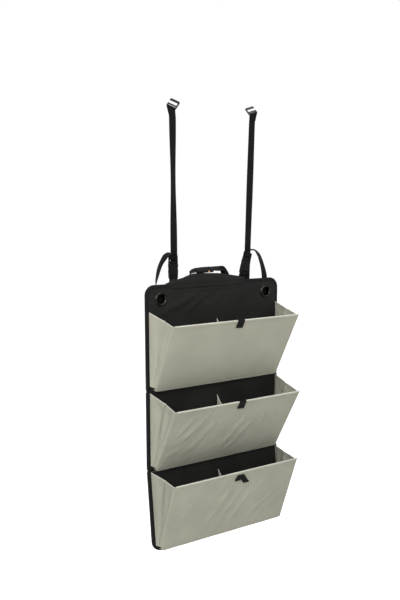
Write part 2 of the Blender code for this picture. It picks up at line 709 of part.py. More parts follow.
def build_hook(side_name, side, parent):
    """Flat hook: a closed slot for the webbing and a slot open at its outer end."""
    corner = HOOK_CORNER
    reach_x = HOOK_WIDTH / 2 - corner
    reach_z = HOOK_HEIGHT / 2 - corner
    corners = ((reach_x, reach_z), (-reach_x, reach_z), (-reach_x, -reach_z), (reach_x, -reach_z))
    outline = []
    for quarter, centre in enumerate(corners):
        start = quarter * math.pi / 2
        arc = arc_points(centre, corner, start, start + math.pi / 2, 3)
        outline.extend((x, z) for x, z, _, _ in arc)
    place = (HOOK_CENTRE_X + side * HOOK_SPREAD, 0.0, 0.0)
    turn = (HOOK_PITCH[side_name], -side * HOOK_ROLL, 0.0)
    frame = make_empty(f"{side_name}_hook_frame", parent, place, turn)
    plate = plate_mesh(outline, -HOOK_PLATE / 2, HOOK_PLATE / 2)
    hook = make_object(f"{side_name}_strap_hook", plate, "hook_metal", frame)
    low = -HOOK_HEIGHT / 2 + HOOK_BAR
    high = low + HOOK_BAR
    slot = box_mesh((-SLOT_HALF_WIDTH, -HOOK_PLATE, low), (SLOT_HALF_WIDTH, HOOK_PLATE, high))
    cut(hook, f"{side_name}_hook_slot", slot, frame)
    ends = sorted((-side * SLOT_HALF_WIDTH, side * HOOK_WIDTH))
    mouth_low = high + HOOK_BAR
    mouth_high = mouth_low + HOOK_MOUTH
    mouth = box_mesh((ends[0], -HOOK_PLATE, mouth_low), (ends[1], HOOK_PLATE, mouth_high))
    cut(hook, f"{side_name}_hook_mouth", mouth, frame)
    soften(hook, 0.0006)


def build_hanging_strap(side_name, side, parent):
    """Webbing from the back of the panel up to the hook, looped round the hook's lower bar."""
    pitch = HOOK_PITCH[side_name]
    roll = Matrix.Rotation(-side * HOOK_ROLL, 3, "Y")
    turn = roll @ Matrix.Rotation(pitch, 3, "X")
    hook_place = Vector((HOOK_CENTRE_X + side * HOOK_SPREAD, 0.0, 0.0))
    bar = hook_place + turn @ Vector((0.0, 0.0, (HOOK_BAR - HOOK_HEIGHT) / 2))
    across = turn @ Vector((1.0, 0.0, 0.0))
    facing = -math.copysign(1.0, pitch)  # the run meets the bar on the side the hook leans to
    base_x = STRAP_CENTRE_X + side * STRAP_BASE_SPREAD
    top_z = -PANEL_TOP_DROP
    over_anchor = SEWN_Y + WEBBING + GAP - STRAP_Y
    start = Vector((base_x, 0.0, top_z))
    finish = Vector((bar.x, 0.0, bar.z - HOOK_APPROACH))
    points = [
        Vector((base_x, over_anchor, top_z - STRAP_SEWN_LENGTH)),
        Vector((base_x, over_anchor, top_z - 1.5 * BINDING_STEP)),
        Vector((base_x, 0.0, top_z - BINDING_STEP)),
        start,
    ]
    sides = [Vector((1.0, 0.0, 0.0))] * len(points)
    steps = 14
    twist_from = STRAP_TWIST_START / (finish - start).length
    for step in range(steps + 1):
        share = twist_from + (1.0 - twist_from) * step / steps
        points.append(start.lerp(finish, share))
        twist = STRAP_TWIST[side_name] * math.sin(math.pi * step / steps) ** 2
        sides.append(Vector((math.cos(twist), math.sin(twist), 0.0)))
    loop_steps = 9
    for step in range(loop_steps + 1):
        angle = math.radians(-10.0 + 200.0 * step / loop_steps)
        out = Vector((0.0, facing * math.cos(angle), math.sin(angle)))
        points.append(bar + roll @ out * HOOK_WRAP)
        sides.append(across)
    share = HOOK_TAIL / HOOK_APPROACH
    run_y = (bar.y + facing * HOOK_WRAP) * (1.0 - share)
    tail_y = run_y - facing * (WEBBING + 4 * GAP)
    points.append(Vector((bar.x, tail_y, bar.z - HOOK_TAIL)))
    sides.append(across)
    mesh = ribbon_mesh(points, sides, WEBBING_WIDTH, WEBBING)
    make_object(f"{side_name}_hanging_strap", mesh, "webbing", parent)


def mouth_place(side_name):
    return Vector((BUCKLE_X[side_name], FRONT_Y + BUCKLE_Y, BUCKLE_ABOVE_TOP - PANEL_TOP_DROP))


def build_socket(side_name, frame):
    """Hollow half of the buckle: mouth and side windows for the prongs, a bar for the webbing."""
    wide = SOCKET_HALF_WIDTH
    narrow = wide - SOCKET_WAIST
    outline = [
        (-wide, 0.0),
        (-wide, -WINDOW_TOP),
        (-narrow, -WINDOW_TOP - WINDOW_LENGTH / 2),
        (-wide, -WINDOW_TOP - WINDOW_LENGTH),
        (-narrow, -SOCKET_LENGTH),
        (narrow, -SOCKET_LENGTH),
        (wide, -WINDOW_TOP - WINDOW_LENGTH),
        (narrow, -WINDOW_TOP - WINDOW_LENGTH / 2),
        (wide, -WINDOW_TOP),
        (wide, 0.0),
    ]
    body = plate_mesh(outline, -SOCKET_HALF_DEPTH, SOCKET_HALF_DEPTH)
    socket = make_object(f"{side_name}_buckle_socket", body, "buckle_plastic", frame)
    soften(socket, 0.0009)
    cavity = box_mesh(
        (-CAVITY_HALF_WIDTH, -CAVITY_HALF_DEPTH, -CAVITY_LENGTH),
        (CAVITY_HALF_WIDTH, CAVITY_HALF_DEPTH, SOCKET_HALF_DEPTH),
    )
    cut(socket, f"{side_name}_socket_cavity", cavity, frame)
    window = box_mesh(
        (-2 * wide, -CAVITY_HALF_DEPTH, -WINDOW_TOP - WINDOW_LENGTH),
        (2 * wide, CAVITY_HALF_DEPTH, -WINDOW_TOP),
    )
    cut(socket, f"{side_name}_socket_windows", window, frame)
    low = -SOCKET_LENGTH + BUCKLE_BAR
    slot = box_mesh(
        (-SLOT_HALF_WIDTH, -2 * SOCKET_HALF_DEPTH, low),
        (SLOT_HALF_WIDTH, 2 * SOCKET_HALF_DEPTH, low + BUCKLE_SLOT),
    )
    cut(socket, f"{side_name}_socket_slot", slot, frame)
    thinned = BAR_WRAP - GAP - WEBBING / 2
    for part, y_near, y_far in (("front", -1, -2), ("back", 1, 2)):
        ends = sorted((y_near * thinned * RELIEF_SHARE, y_far * SOCKET_HALF_DEPTH))
        relief = box_mesh(
            (-SLOT_HALF_WIDTH, ends[0], -SOCKET_LENGTH - GAP), (SLOT_HALF_WIDTH, ends[1], low + GAP)
        )
        cut(socket, f"{side_name}_socket_{part}_relief", relief, frame)


def plug_outline():
    """Collar, two prongs with release pads, and the middle tongue."""
    root = GAP
    pad = CAVITY_HALF_WIDTH - PRONG_CLEARANCE
    right = [
        (TONGUE_HALF_WIDTH, root),
        (PRONG_INNER, root),
        (PRONG_INNER, -PRONG_LENGTH),
        (PRONG_OUTER, -PRONG_LENGTH),
        (pad, -PAD_TOP - PAD_LENGTH),
        (pad, -PAD_TOP),
        (PRONG_OUTER, -PAD_TOP),
        (PRONG_OUTER, root),
    ]
    tongue = [(-TONGUE_HALF_WIDTH, -TONGUE_LENGTH), (TONGUE_HALF_WIDTH, -TONGUE_LENGTH)]
    left = [(-x, z) for x, z in reversed(right)]
    high = COLLAR_HEIGHT / 2
    return [*left, *tongue, *right, (PRONG_OUTER, high), (-PRONG_OUTER, high)]


def build_plug(side_name, frame):
    """Pronged half of the buckle with a ladder of bars for adjusting the webbing."""
    collar = box_mesh(
        (-PLUG_HALF_WIDTH, -COLLAR_HALF_DEPTH, GAP),
        (PLUG_HALF_WIDTH, COLLAR_HALF_DEPTH, COLLAR_HEIGHT),
    )
    plug = make_object(f"{side_name}_buckle_plug", collar, "buckle_plastic", frame)
    soften(plug, 0.0009)
    prongs = plate_mesh(plug_outline(), -PRONG_HALF_DEPTH, PRONG_HALF_DEPTH)
    frame_low = COLLAR_HEIGHT / 2
    ladder = box_mesh(
        (-PLUG_HALF_WIDTH, -PLUG_HALF_DEPTH, frame_low),
        (PLUG_HALF_WIDTH, PLUG_HALF_DEPTH, PLUG_HEIGHT),
    )
    for part, bm in (("prongs", prongs), ("ladder", ladder)):
        piece = make_object(f"{side_name}_plug_{part}", bm, None, frame)
        piece.hide_render = True
        piece.display_type = "WIRE"
        modifier = plug.modifiers.new(f"join_{part}", "BOOLEAN")
        modifier.operation = "UNION"
        modifier.solver = "EXACT"
        modifier.object = piece
    for step in range(2):
        low = LADDER_FOOT + step * (LADDER_SLOT + LADDER_BAR)
        slot = box_mesh(
            (-SLOT_HALF_WIDTH, -2 * PLUG_HALF_DEPTH, low),
            (SLOT_HALF_WIDTH, 2 * PLUG_HALF_DEPTH, low + LADDER_SLOT),
        )
        cut(plug, f"{side_name}_ladder_slot_{step}", slot, frame)


def build_anchor(side_name, frame):
    """Webbing from the back of the panel to the bar of the socket, folded round it."""
    lean = math.cos(BUCKLE_LEAN[side_name])
    bar_z = -SOCKET_LENGTH + BUCKLE_BAR / 2
    top_z = -BUCKLE_ABOVE_TOP / lean
    sewn = SEWN_Y - BUCKLE_Y
    clear = ANCHOR_Y - BUCKLE_Y
    route = [
        (sewn, top_z - ANCHOR_SEWN_LENGTH),
        (sewn, top_z - 1.5 * BINDING_STEP),
        (clear, top_z - BINDING_STEP),
        (clear, bar_z - BAR_WRAP),
    ]
    loop_steps = 8
    for step in range(loop_steps + 1):
        angle = math.pi * step / loop_steps
        route.append((BAR_WRAP * math.cos(angle), bar_z + BAR_WRAP * math.sin(angle)))
    route.append((clear - WEBBING - 4 * GAP, bar_z - ANCHOR_TAIL))
    points = [Vector((0.0, y, z)) for y, z in route]
    sides = [Vector((1.0, 0.0, 0.0))] * len(points)
    mesh = ribbon_mesh(points, sides, WEBBING_WIDTH, WEBBING)
    make_object(f"{side_name}_buckle_anchor_strap", mesh, "webbing", frame)


def build_closing_strap(side_name, side, frame, parent):
    """Webbing round the plug's ladder bar, over the top edge and down the back."""
    lean = Matrix.Rotation(BUCKLE_LEAN[side_name], 3, "Y")
    origin = mouth_place(side_name)
    bar_z = LADDER_FOOT + LADDER_SLOT + LADDER_BAR / 2
    across = lean @ Vector((1.0, 0.0, 0.0))
    points = [origin + lean @ Vector((0.0, LADDER_WRAP, bar_z + BUCKLE_TAIL))]
    loop_steps = 8
    for step in range(loop_steps + 1):
        angle = -math.pi * step / loop_steps
        local = Vector((0.0, LADDER_WRAP * math.cos(angle), bar_z + LADDER_WRAP * math.sin(angle)))
        points.append(origin + lean @ local)
    leave_z = PLUG_HEIGHT + 2 * WEBBING
    points.append(origin + lean @ Vector((0.0, -LADDER_WRAP, leave_z)))
    sides = [across] * len(points)

    top = -PANEL_TOP_DROP
    leave = points[-1]
    # sideways share of the way from the buckle to the strap's place on the panel,
    # depth behind the front face, height above the top edge, turn of the width from the X axis
    if side < 0:
        stations = [
            (0.20, 0.0030, 0.0995, -28.0),
            (0.50, 0.0070, 0.0960, -80.0),
            (0.78, 0.0165, 0.0720, -105.0),
            (0.96, 0.0215, 0.0360, -118.0),
            (1.04, 0.0240, 0.0000, -125.0),
            (1.02, 0.0220, -0.0350, -150.0),
        ]
        flat = -180.0
    else:
        stations = [
            (0.15, 0.0030, 0.0970, 14.0),
            (0.30, 0.0035, 0.0985, 44.0),
            (0.45, 0.0070, 0.0930, 70.0),
            (0.69, 0.0155, 0.0730, 58.0),
            (0.86, 0.0195, 0.0460, 34.0),
            (0.96, 0.0205, 0.0190, 16.0),
            (0.99, 0.0195, 0.0000, 6.0),
        ]
        flat = 0.0
    end_x = side * CLOSING_X
    way = [(leave.x, leave.y, leave.z, 0.0)]
    for share, depth, height, turn in stations:
        way.append((leave.x + (end_x - leave.x) * share, FRONT_Y + depth, top + height, turn))
    back = FRONT_Y + SEWN_Y
    way.append((end_x, back + 0.0045, top - 0.075, flat))
    way.append((end_x, back + 0.0030, top - 0.150, flat))
    way.append((end_x, back, top - CLOSING_SEWN[0], flat))
    way.append((end_x, back, top - CLOSING_SEWN[1], flat))
    run = smooth_run(way, 4)[1:]
    for x, y, z, turn in run:
        points.append(Vector((x, y, z)))
        sides.append(Vector((math.cos(math.radians(turn)), math.sin(math.radians(turn)), 0.0)))
    mesh = ribbon_mesh(points, sides, WEBBING_WIDTH, WEBBING)
    make_object(f"{side_name}_closing_strap", mesh, "webbing", parent)


def build_fold_strips():
    """The two strips of fabric that the back sections fold on."""
    front = FRONT_Y - GAP
    upper = [
        (front, UPPER_FOOT_Z + FOLD_LAP),
        (front, UPPER_FOOT_Z - FOLD_GAP - FOLD_LAP),
        (front - FOLD_CLOTH, UPPER_FOOT_Z - FOLD_GAP - FOLD_LAP),
        (front - FOLD_CLOTH, UPPER_FOOT_Z + FOLD_LAP),
    ]
    strip = side_plate_mesh(upper, -FOLD_HALF_WIDTH, FOLD_HALF_WIDTH)
    make_object("upper_fold_strip", strip, "black_fabric", None)

    reach = FOLD_GAP / 2 + FOLD_LAP
    near = BOARD + GAP - LOWER_FOLD_DEPTH
    far = near + FOLD_CLOTH
    axis_y = FRONT_Y + LOWER_FOLD_DEPTH
    sine = math.sin(-LOWER_TILT)
    cosine = math.cos(-LOWER_TILT)
    hanging = []
    for y in (near, far):
        hanging.append((axis_y + y * cosine + reach * sine, LOWER_FOLD_Z + y * sine - reach * cosine))
    lower = [
        (axis_y + near, LOWER_FOLD_Z + reach),
        (axis_y + near, LOWER_FOLD_Z),
        hanging[0],
        hanging[1],
        (axis_y + far, LOWER_FOLD_Z),
        (axis_y + far, LOWER_FOLD_Z + reach),
    ]
    strip = side_plate_mesh(lower, -FOLD_HALF_WIDTH, FOLD_HALF_WIDTH)
    make_object("lower_fold_strip", strip, "black_fabric", None)


def build_upper_section():
    base = (0.0, 0.0, 0.0)
    frame = make_empty("upper_section_frame", None, (0.0, FRONT_Y, UPPER_FOOT_Z))
    edge = arch_edge(PANEL_HALF_WIDTH, 0.0, UPPER_HEIGHT, TOP_CORNER_RADIUS)
    layers = build_layers("upper", inset_outline(edge, LAYER_INSET), frame, base)
    build_binding("upper_edge_binding", edge, frame, base)
    build_eyelets(layers, frame, base)
    build_pocket("upper", frame, base, -2 * GAP - FOLD_CLOTH)
    top = (0.0, 0.0, UPPER_HEIGHT)
    build_flap(frame, top)
    build_handle(frame, top)
    for side_name, side in (("left", -1), ("right", 1)):
        build_hook(side_name, side, None)
        build_hanging_strap(side_name, side, None)
        lean = (0.0, BUCKLE_LEAN[side_name], 0.0)
        buckle = make_empty(f"{side_name}_buckle_frame", None, mouth_place(side_name), lean)
        build_socket(side_name, buckle)
        build_plug(side_name, buckle)
        build_anchor(side_name, buckle)
        build_closing_strap(side_name, side, buckle, None)


def build_middle_section():
    frame = make_empty("middle_section_frame", None, (0.0, FRONT_Y + UPPER_FOLD_DEPTH, UPPER_FOLD_Z))
    base = (0.0, -UPPER_FOLD_DEPTH, -FOLD_GAP / 2 - POCKET_HEIGHT)
    half = PANEL_HALF_WIDTH
    inner = half - LAYER_INSET
    outline = [(-inner, 0.0), (inner, 0.0), (inner, POCKET_HEIGHT), (-inner, POCKET_HEIGHT)]
    build_layers("middle", outline, frame, base)
    for side_name, side in (("left", -1.0), ("right", 1.0)):
        edge = [(side * half, 0.0, side, 0.0), (side * half, POCKET_HEIGHT, side, 0.0)]
        build_binding(f"middle_{side_name}_binding", edge, frame, base)
    build_pocket("middle", frame, base, -GAP)


def build_lower_section():
    place = (0.0, FRONT_Y + LOWER_FOLD_DEPTH, LOWER_FOLD_Z)
    frame = make_empty("lower_section_frame", None, place, (-LOWER_TILT, 0.0, 0.0))
    base = (0.0, -LOWER_FOLD_DEPTH, -FOLD_GAP / 2 - POCKET_HEIGHT)
    edge = tray_edge(PANEL_HALF_WIDTH, -PANEL_BELOW_POCKET, POCKET_HEIGHT, BOTTOM_CORNER_RADIUS)
    build_layers("lower", inset_outline(edge, LAYER_INSET), frame, base)
    build_binding("lower_edge_binding", edge, frame, base)
    build_pocket("lower", frame, base, -BINDING_STAND - GAP)


def main():
    clear_scene()
    make_materials()
    build_upper_section()
    build_middle_section()
    build_lower_section()
    build_fold_strips()


main()
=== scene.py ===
"""Looks of the hanging camping organizer: cloth, seams, webbing, handle, materials, light and camera."""

import math

import bmesh
import bpy
from mathutils import Matrix, Vector
from mathutils.noise import noise

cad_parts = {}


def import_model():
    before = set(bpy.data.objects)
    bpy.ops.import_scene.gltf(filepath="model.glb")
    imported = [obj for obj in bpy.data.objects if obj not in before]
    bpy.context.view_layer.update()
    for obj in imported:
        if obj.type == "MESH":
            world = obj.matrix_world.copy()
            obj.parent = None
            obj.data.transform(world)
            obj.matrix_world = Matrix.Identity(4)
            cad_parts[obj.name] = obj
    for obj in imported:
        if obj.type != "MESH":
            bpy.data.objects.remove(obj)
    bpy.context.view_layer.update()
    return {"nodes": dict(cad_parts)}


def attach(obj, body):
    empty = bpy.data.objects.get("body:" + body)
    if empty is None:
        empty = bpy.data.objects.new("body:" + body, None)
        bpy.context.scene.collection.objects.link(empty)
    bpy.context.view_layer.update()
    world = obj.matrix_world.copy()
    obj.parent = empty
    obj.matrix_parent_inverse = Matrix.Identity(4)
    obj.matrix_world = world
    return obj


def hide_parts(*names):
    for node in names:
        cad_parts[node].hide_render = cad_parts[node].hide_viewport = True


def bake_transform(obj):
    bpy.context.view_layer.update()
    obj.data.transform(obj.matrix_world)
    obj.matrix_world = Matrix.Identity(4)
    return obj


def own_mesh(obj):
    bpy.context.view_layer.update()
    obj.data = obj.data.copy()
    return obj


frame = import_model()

NODES = frame["nodes"]
NAMES = ("upper", "middle", "lower")
SIDES = (("left", -1), ("right", 1))
RIGHT = Vector((1.0, 0.0, 0.0))
BACKWARD = Vector((0.0, 1.0, 0.0))
FORWARD = Vector((0.0, -1.0, 0.0))
UP = Vector((0.0, 0.0, 1.0))

# Sizes shared with the frame, in metres
GAP = 0.0003
HALF = 0.259  # half the width of a back section
BOARD = 0.0100
STAND = 0.0015  # how far a binding stands off each skin
BACK = BOARD + STAND
REACH = 0.009  # how far a binding laps onto each face
FRONT_Y = -0.0142
TOP_Z = -0.541
FOOT = {"upper": -0.860, "middle": -1.108}
POCKET_HEIGHT = 0.238
UPPER_HEIGHT = 0.319
LOWER_FOLD_Z = -1.113
LOWER_FOLD_DEPTH = BACK + GAP
TILT = math.radians(6.0)
DEPTH = 0.018  # of a pocket at its foot
OPENING = {"upper": math.radians(27.5), "middle": math.radians(29.5), "lower": math.radians(26.0)}
FRONT_TOP = 0.2435
FRONT_LOW = 0.2395
FRONT_LENGTH = 0.232
FRONT_THICK = 0.004
SEAM = HALF - REACH - GAP
EYELET = Vector((0.206, 0.0, UPPER_HEIGHT - 0.044))
WEBBING = 0.0014
WIDE = 0.025
ANCHOR_Y = BACK + GAP + WEBBING / 2
STRAP_Y = ANCHOR_Y + WEBBING + GAP
SEWN_Y = BOARD + GAP + WEBBING / 2
SLIM = WEBBING - 0.0001
CLOTH = 0.0009  # thickness of a single cloth
SKIN_IN = 0.0015  # the skins end this far inside the outline
FOOT_Z = -0.008  # the lowest edge of the lowest section
CORNER = {"upper": 0.032, "lower": 0.030}  # radius of the rounded corners
SKIN_CORNER = {"upper": 0.0305, "lower": 0.0285}

PLACE = {
    "upper": Matrix.Translation((0.0, FRONT_Y, FOOT["upper"])),
    "middle": Matrix.Translation((0.0, FRONT_Y, FOOT["middle"])),
    "lower": Matrix.Translation((0.0, FRONT_Y + LOWER_FOLD_DEPTH, LOWER_FOLD_Z))
    @ Matrix.Rotation(-TILT, 4, "X")
    @ Matrix.Translation((0.0, -LOWER_FOLD_DEPTH, -0.005 - POCKET_HEIGHT)),
}
HINGE = {
    n: PLACE[n] @ Matrix.Translation((0.0, -DEPTH, 0.0)) @ Matrix.Rotation(OPENING[n], 4, "X")
    for n in PLACE
}
HEIGHT = {"upper": UPPER_HEIGHT, "middle": POCKET_HEIGHT, "lower": POCKET_HEIGHT}
TOP_PLACE = Matrix.Translation((0.0, FRONT_Y, TOP_Z))


def metres(rows, plain=0):
    """Rows written in tenths of a millimetre, in metres. The last plain values of a row stay as they are."""
    return [(*(v / 10000 for v in row[: len(row) - plain]), *row[len(row) - plain :]) for row in rows]


# Materials


class Nodes:
    """A short way to write the nodes of a material or of the world."""

    def __init__(self, owner):
        owner.use_nodes = True
        self.owner = owner
        self.tree = owner.node_tree

    def put(self, node, inputs):
        """Links the inputs of a node, or sets them to plain values."""
        for key, value in dict(inputs).items():
            if isinstance(value, bpy.types.NodeSocket):
                self.tree.links.new(value, node.inputs[key])
            else:
                node.inputs[key].default_value = value
        return node

    def add(self, kind, inputs=(), **settings):
        node = self.tree.nodes.new(kind)
        for key, value in settings.items():
            setattr(node, key, value)
        return self.put(node, inputs)

    def math(self, operation, *values):
        return self.add("ShaderNodeMath", enumerate(values), operation=operation).outputs[0]

    def plus(self, a, b, share):
        """The sum of a and a share of b."""
        return self.math("ADD", a, self.math("MULTIPLY", b, share))

    def wave(self, place, pitch):
        return self.math("SINE", self.math("MULTIPLY", place, 2 * math.pi / pitch))

    def noise(self, vector, scale, detail=2.0, rough=0.5):
        inputs = {"Vector": vector, "Scale": scale, "Detail": detail, "Roughness": rough}
        return self.add("ShaderNodeTexNoise", inputs).outputs["Fac"]

    def spread(self, value, low, high):
        """The usual range of a noise, stretched from low to high."""
        inputs = {"Value": value, "From Min": 0.3, "From Max": 0.7, "To Min": low, "To Max": high}
        return self.add("ShaderNodeMapRange", inputs).outputs[0]

    def bump(self, height, distance, strength, **under):
        inputs = {"Height": height, "Distance": distance, "Strength": strength, **under}
        return self.add("ShaderNodeBump", inputs).outputs["Normal"]

    def cloth_map(self):
        """The two directions of the cloth, from a UV map in metres."""
        uv = self.add("ShaderNodeUVMap", uv_map="cloth").outputs[0]
        return self.add("ShaderNodeSeparateXYZ", {0: uv}).outputs

    def seen(self):
        """1 for rays that make the picture itself, 0 for the light that falls on the object."""
        rays = self.add("ShaderNodeLightPath").outputs
        seen = self.math("MAXIMUM", rays["Is Camera Ray"], rays["Is Glossy Ray"])
        return self.math("MAXIMUM", seen, rays["Is Transmission Ray"])


def bare_material(name):
    """A new material's nodes, its shader, and places on the object."""
    m = Nodes(bpy.data.materials.new(name))
    return m, m.tree.nodes["Principled BSDF"], m.add("ShaderNodeTexCoord").outputs["Object"]


def paint(m, shader, tone, colours, wear, rough, inputs):
    """Gives the shader a colour between two by tone, a roughness between two by wear, and other inputs."""
    dark, light = ((*colour, 1.0) for colour in colours)
    mix = {"Factor": m.spread(tone, 0.0, 1.0), "A": dark, "B": light}
    colour = m.add("ShaderNodeMix", mix, data_type="RGBA").outputs["Result"]
    m.put(shader, {"Base Color": colour, "Roughness": m.spread(wear, *rough), **inputs})
    return m.owner


def cloth_material(name, dark, light, pitch, rough, crease, sheen=0.0, crinkle=0.0):
    """Plain weave with slubs, slight colour change, soft creases and, where asked, sharper crinkles."""
    m, shader, place = bare_material(name)
    along = m.cloth_map()
    broad, slub = m.noise(place, 9.0, 3.0), m.noise(place, 420.0)
    tone = m.plus(m.math("MULTIPLY", broad, 0.62), slub, 0.38)
    normal = m.bump(m.noise(place, 26.0, 3.0, 0.55), 0.0022, crease)
    if crinkle:  # long ridges that lean to the right
        turn = {"Rotation": (0.0, math.radians(38.0), 0.0), "Scale": (0.030, 0.050, 0.120)}
        lean = m.add("ShaderNodeMapping", {"Vector": place, **turn}, vector_type="TEXTURE").outputs[0]
        ridge = m.math("ABSOLUTE", m.math("SUBTRACT", m.noise(lean, 1.0, 3.5, 0.55), 0.5))
        normal = m.bump(m.math("SQRT", ridge), 0.0042, crinkle, Normal=normal)
    weave = m.math("MULTIPLY", m.wave(along["X"], pitch), m.wave(along["Y"], pitch))
    normal = m.bump(m.plus(weave, slub, 0.8), pitch * 0.25, 0.5, Normal=normal)
    inputs = {"Normal": normal, "Sheen Weight": sheen, "Sheen Roughness": 0.4, "Specular IOR Level": 0.08}
    return paint(m, shader, tone, (dark, light), broad, (rough - 0.07, rough + 0.07), inputs)


def grey(name, dark, light, crease=0.30, crinkle=0.0, rough=0.80):
    return cloth_material(name, dark, light, 0.0011, rough, crease, 0.03, crinkle)


def webbing_material(name, dark, light, u_pitch, v_pitch, rough, depth):
    """Ribbed tape: a herringbone of yarns along the length, with fuzz."""
    m, shader, place = bare_material(name)
    along = m.cloth_map()
    run = m.plus(along["X"], m.math("PINGPONG", along["Y"], 0.0031), 0.8)
    height = m.plus(m.wave(run, u_pitch), m.wave(along["Y"], v_pitch), 0.6)
    fuzz, broad = m.noise(place, 700.0), m.noise(place, 30.0)
    tone = m.plus(m.math("MULTIPLY", fuzz, 0.6), broad, 0.4)
    inputs = {"Normal": m.bump(m.math("ADD", height, fuzz), depth, 0.6), "Specular IOR Level": 0.06}
    return paint(m, shader, tone, (dark, light), broad, (rough - 0.08, rough + 0.08), inputs)


def hard_material(name, dark, light, rough, metallic, grain, depth, shine=0.5):
    """Moulded plastic, metal or thread: fine grain and lighter scuffs."""
    m, shader, place = bare_material(name)
    scuff = m.noise(place, grain / 9.0, 4.0, 0.65)
    normal = m.bump(m.noise(place, grain, 3.0), depth, 0.35)
    inputs = {"Normal": normal, "Metallic": metallic, "Specular IOR Level": shine}
    return paint(m, shader, scuff, (dark, light), scuff, (rough - 0.08, rough + 0.10), inputs)


GREY = grey("grey_oxford", (0.350, 0.345, 0.280), (0.430, 0.424, 0.344), 0.22)
# Painted shade: the grey cloth made darker for the middle and lower pockets, with crinkles as well.
GREY_CREASED_SHADE = grey("grey_oxford_creased_painted_shade", (0.308, 0.304, 0.247), (0.384, 0.379, 0.308), crinkle=0.85)
# Painted shade: the grey cloth slightly darker for the upper gussets, with a softer crinkle.
GREY_SOFT_SHADE = grey("grey_oxford_gusset_painted_shade", (0.334, 0.329, 0.267), (0.408, 0.402, 0.326), crinkle=0.45)
# Painted shade: the grey cloth darker still for the lower gussets.
GREY_SHADED = grey("grey_oxford_low_gusset_painted_shade", (0.280, 0.276, 0.225), (0.350, 0.345, 0.281), crinkle=0.85)
# Painted shade: dark grey cloth laid along the gusset crease.
CREASE_SHADE = grey("grey_oxford_painted_crease_shade", (0.150, 0.148, 0.121), (0.205, 0.202, 0.165), rough=0.85)
# Painted highlight: a lighter grey cloth for rim faces that turn up to the light.
RIM_HIGHLIGHT = cloth_material("painted_rim_highlight", (0.45, 0.44, 0.385), (0.56, 0.55, 0.485), 0.0009, 0.80, 0.10, 0.03)
BLACK = cloth_material(
    "black_oxford", (0.0088, 0.0088, 0.0084), (0.0190, 0.0190, 0.0181), 0.0010, 0.66, 0.40
)
BINDING = webbing_material(
    "edge_tape", (0.0060, 0.0060, 0.0060), (0.0125, 0.0125, 0.0124), 0.0011, 0.0016, 0.66, 0.00016
)
STRAP = webbing_material(
    "strap_webbing", (0.0036, 0.0036, 0.0037), (0.0082, 0.0082, 0.0084), 0.0015, 0.0014, 0.62, 0.00022
)
THREAD_BLACK = hard_material(
    "black_thread", (0.008, 0.008, 0.008), (0.018, 0.018, 0.0175), 0.6, 0.0, 1500.0, 0.00008, 0.15
)
THREAD_GREY = hard_material(
    "grey_thread", (0.30, 0.296, 0.24), (0.42, 0.414, 0.336), 0.65, 0.0, 1500.0, 0.00008, 0.2
)
PLASTIC = hard_material(
    "moulded_buckle", (0.0024, 0.0024, 0.0025), (0.0062, 0.0062, 0.0064), 0.30, 0.0, 900.0, 0.00005, 0.06
)
HOOK = hard_material(
    "black_coated_steel", (0.009, 0.009, 0.0095), (0.022, 0.022, 0.023), 0.36, 0.2, 500.0, 0.00005, 0.3
)
EYELET_METAL = hard_material(
    "gunmetal", (0.013, 0.0122, 0.0112), (0.027, 0.0252, 0.0228), 0.16, 1.0, 400.0, 0.00003
)
STUD = hard_material("tan_stud_cap", (0.62, 0.33, 0.13), (0.80, 0.47, 0.22), 0.40, 0.0, 900.0, 0.00004)
BOARD_CORE = hard_material("pressed_board", (0.20, 0.17, 0.13), (0.30, 0.26, 0.20), 0.8, 0.0, 300.0, 0.0001)
# Which copy of the grey cloth each pocket takes: the darker copies are painted shade.
FRONT_CLOTH = {"upper": GREY, "middle": GREY_CREASED_SHADE, "lower": GREY_CREASED_SHADE}
GUSSET_CLOTH = {"upper": GREY_SOFT_SHADE, "middle": GREY_CREASED_SHADE, "lower": GREY_SHADED}


# Meshes


def new_object(name, data):
    obj = bpy.data.objects.new(name, data)
    bpy.context.scene.collection.objects.link(obj)
    return obj


def mesh_object(name, bm):
    mesh = bpy.data.meshes.new(name)
    bm.to_mesh(mesh)
    bm.free()
    return new_object(name, mesh)


def finish_piece(name, bm, place, material, body, replaces=(), smooth=35.0):
    """Makes an object of a mesh, with the body it moves with and the solids it replaces."""
    bmesh.ops.recalc_face_normals(bm, faces=bm.faces)
    if bm.calc_volume(signed=True) < 0.0:
        bmesh.ops.reverse_faces(bm, faces=bm.faces)
    obj = mesh_object(name, bm)
    mesh = obj.data
    mesh.transform(place)
    mesh.materials.append(material)
    mesh.shade_smooth()
    mesh.set_sharp_from_angle(angle=math.radians(smooth))
    if body:
        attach(obj, body)
    if replaces:
        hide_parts(*replaces)
    return obj


def shares(count):
    return [k / count for k in range(count + 1)]


def slab(along, across, at):
    """Cloth through at(a, b): the near point, the far point and the UV in metres of each place."""
    bm = bmesh.new()
    layer = bm.loops.layers.uv.new("cloth")
    grid = [[at(a, b) for b in across] for a in along]
    rows, columns = len(along), len(across)
    near, far = ([[bm.verts.new(place[k]) for place in row] for row in grid] for k in (0, 1))
    uvs = {made[i][j]: grid[i][j][2] for made in (near, far) for i in range(rows) for j in range(columns)}
    for made in (near, far):
        for i in range(rows - 1):
            for j in range(columns - 1):
                bm.faces.new((made[i][j], made[i + 1][j], made[i + 1][j + 1], made[i][j + 1]))
    rim = [(0, j) for j in range(columns)]
    rim += [(i, columns - 1) for i in range(1, rows)]
    rim += [(rows - 1, j) for j in range(columns - 2, -1, -1)]
    rim += [(i, 0) for i in range(rows - 2, 0, -1)]
    for (i, j), (k, m) in zip(rim, rim[1:] + rim[:1]):
        bm.faces.new((near[i][j], near[k][m], far[k][m], far[i][j]))
    for face in bm.faces:
        for loop in face.loops:
            loop[layer].uv = uvs[loop.vert]
    return bm


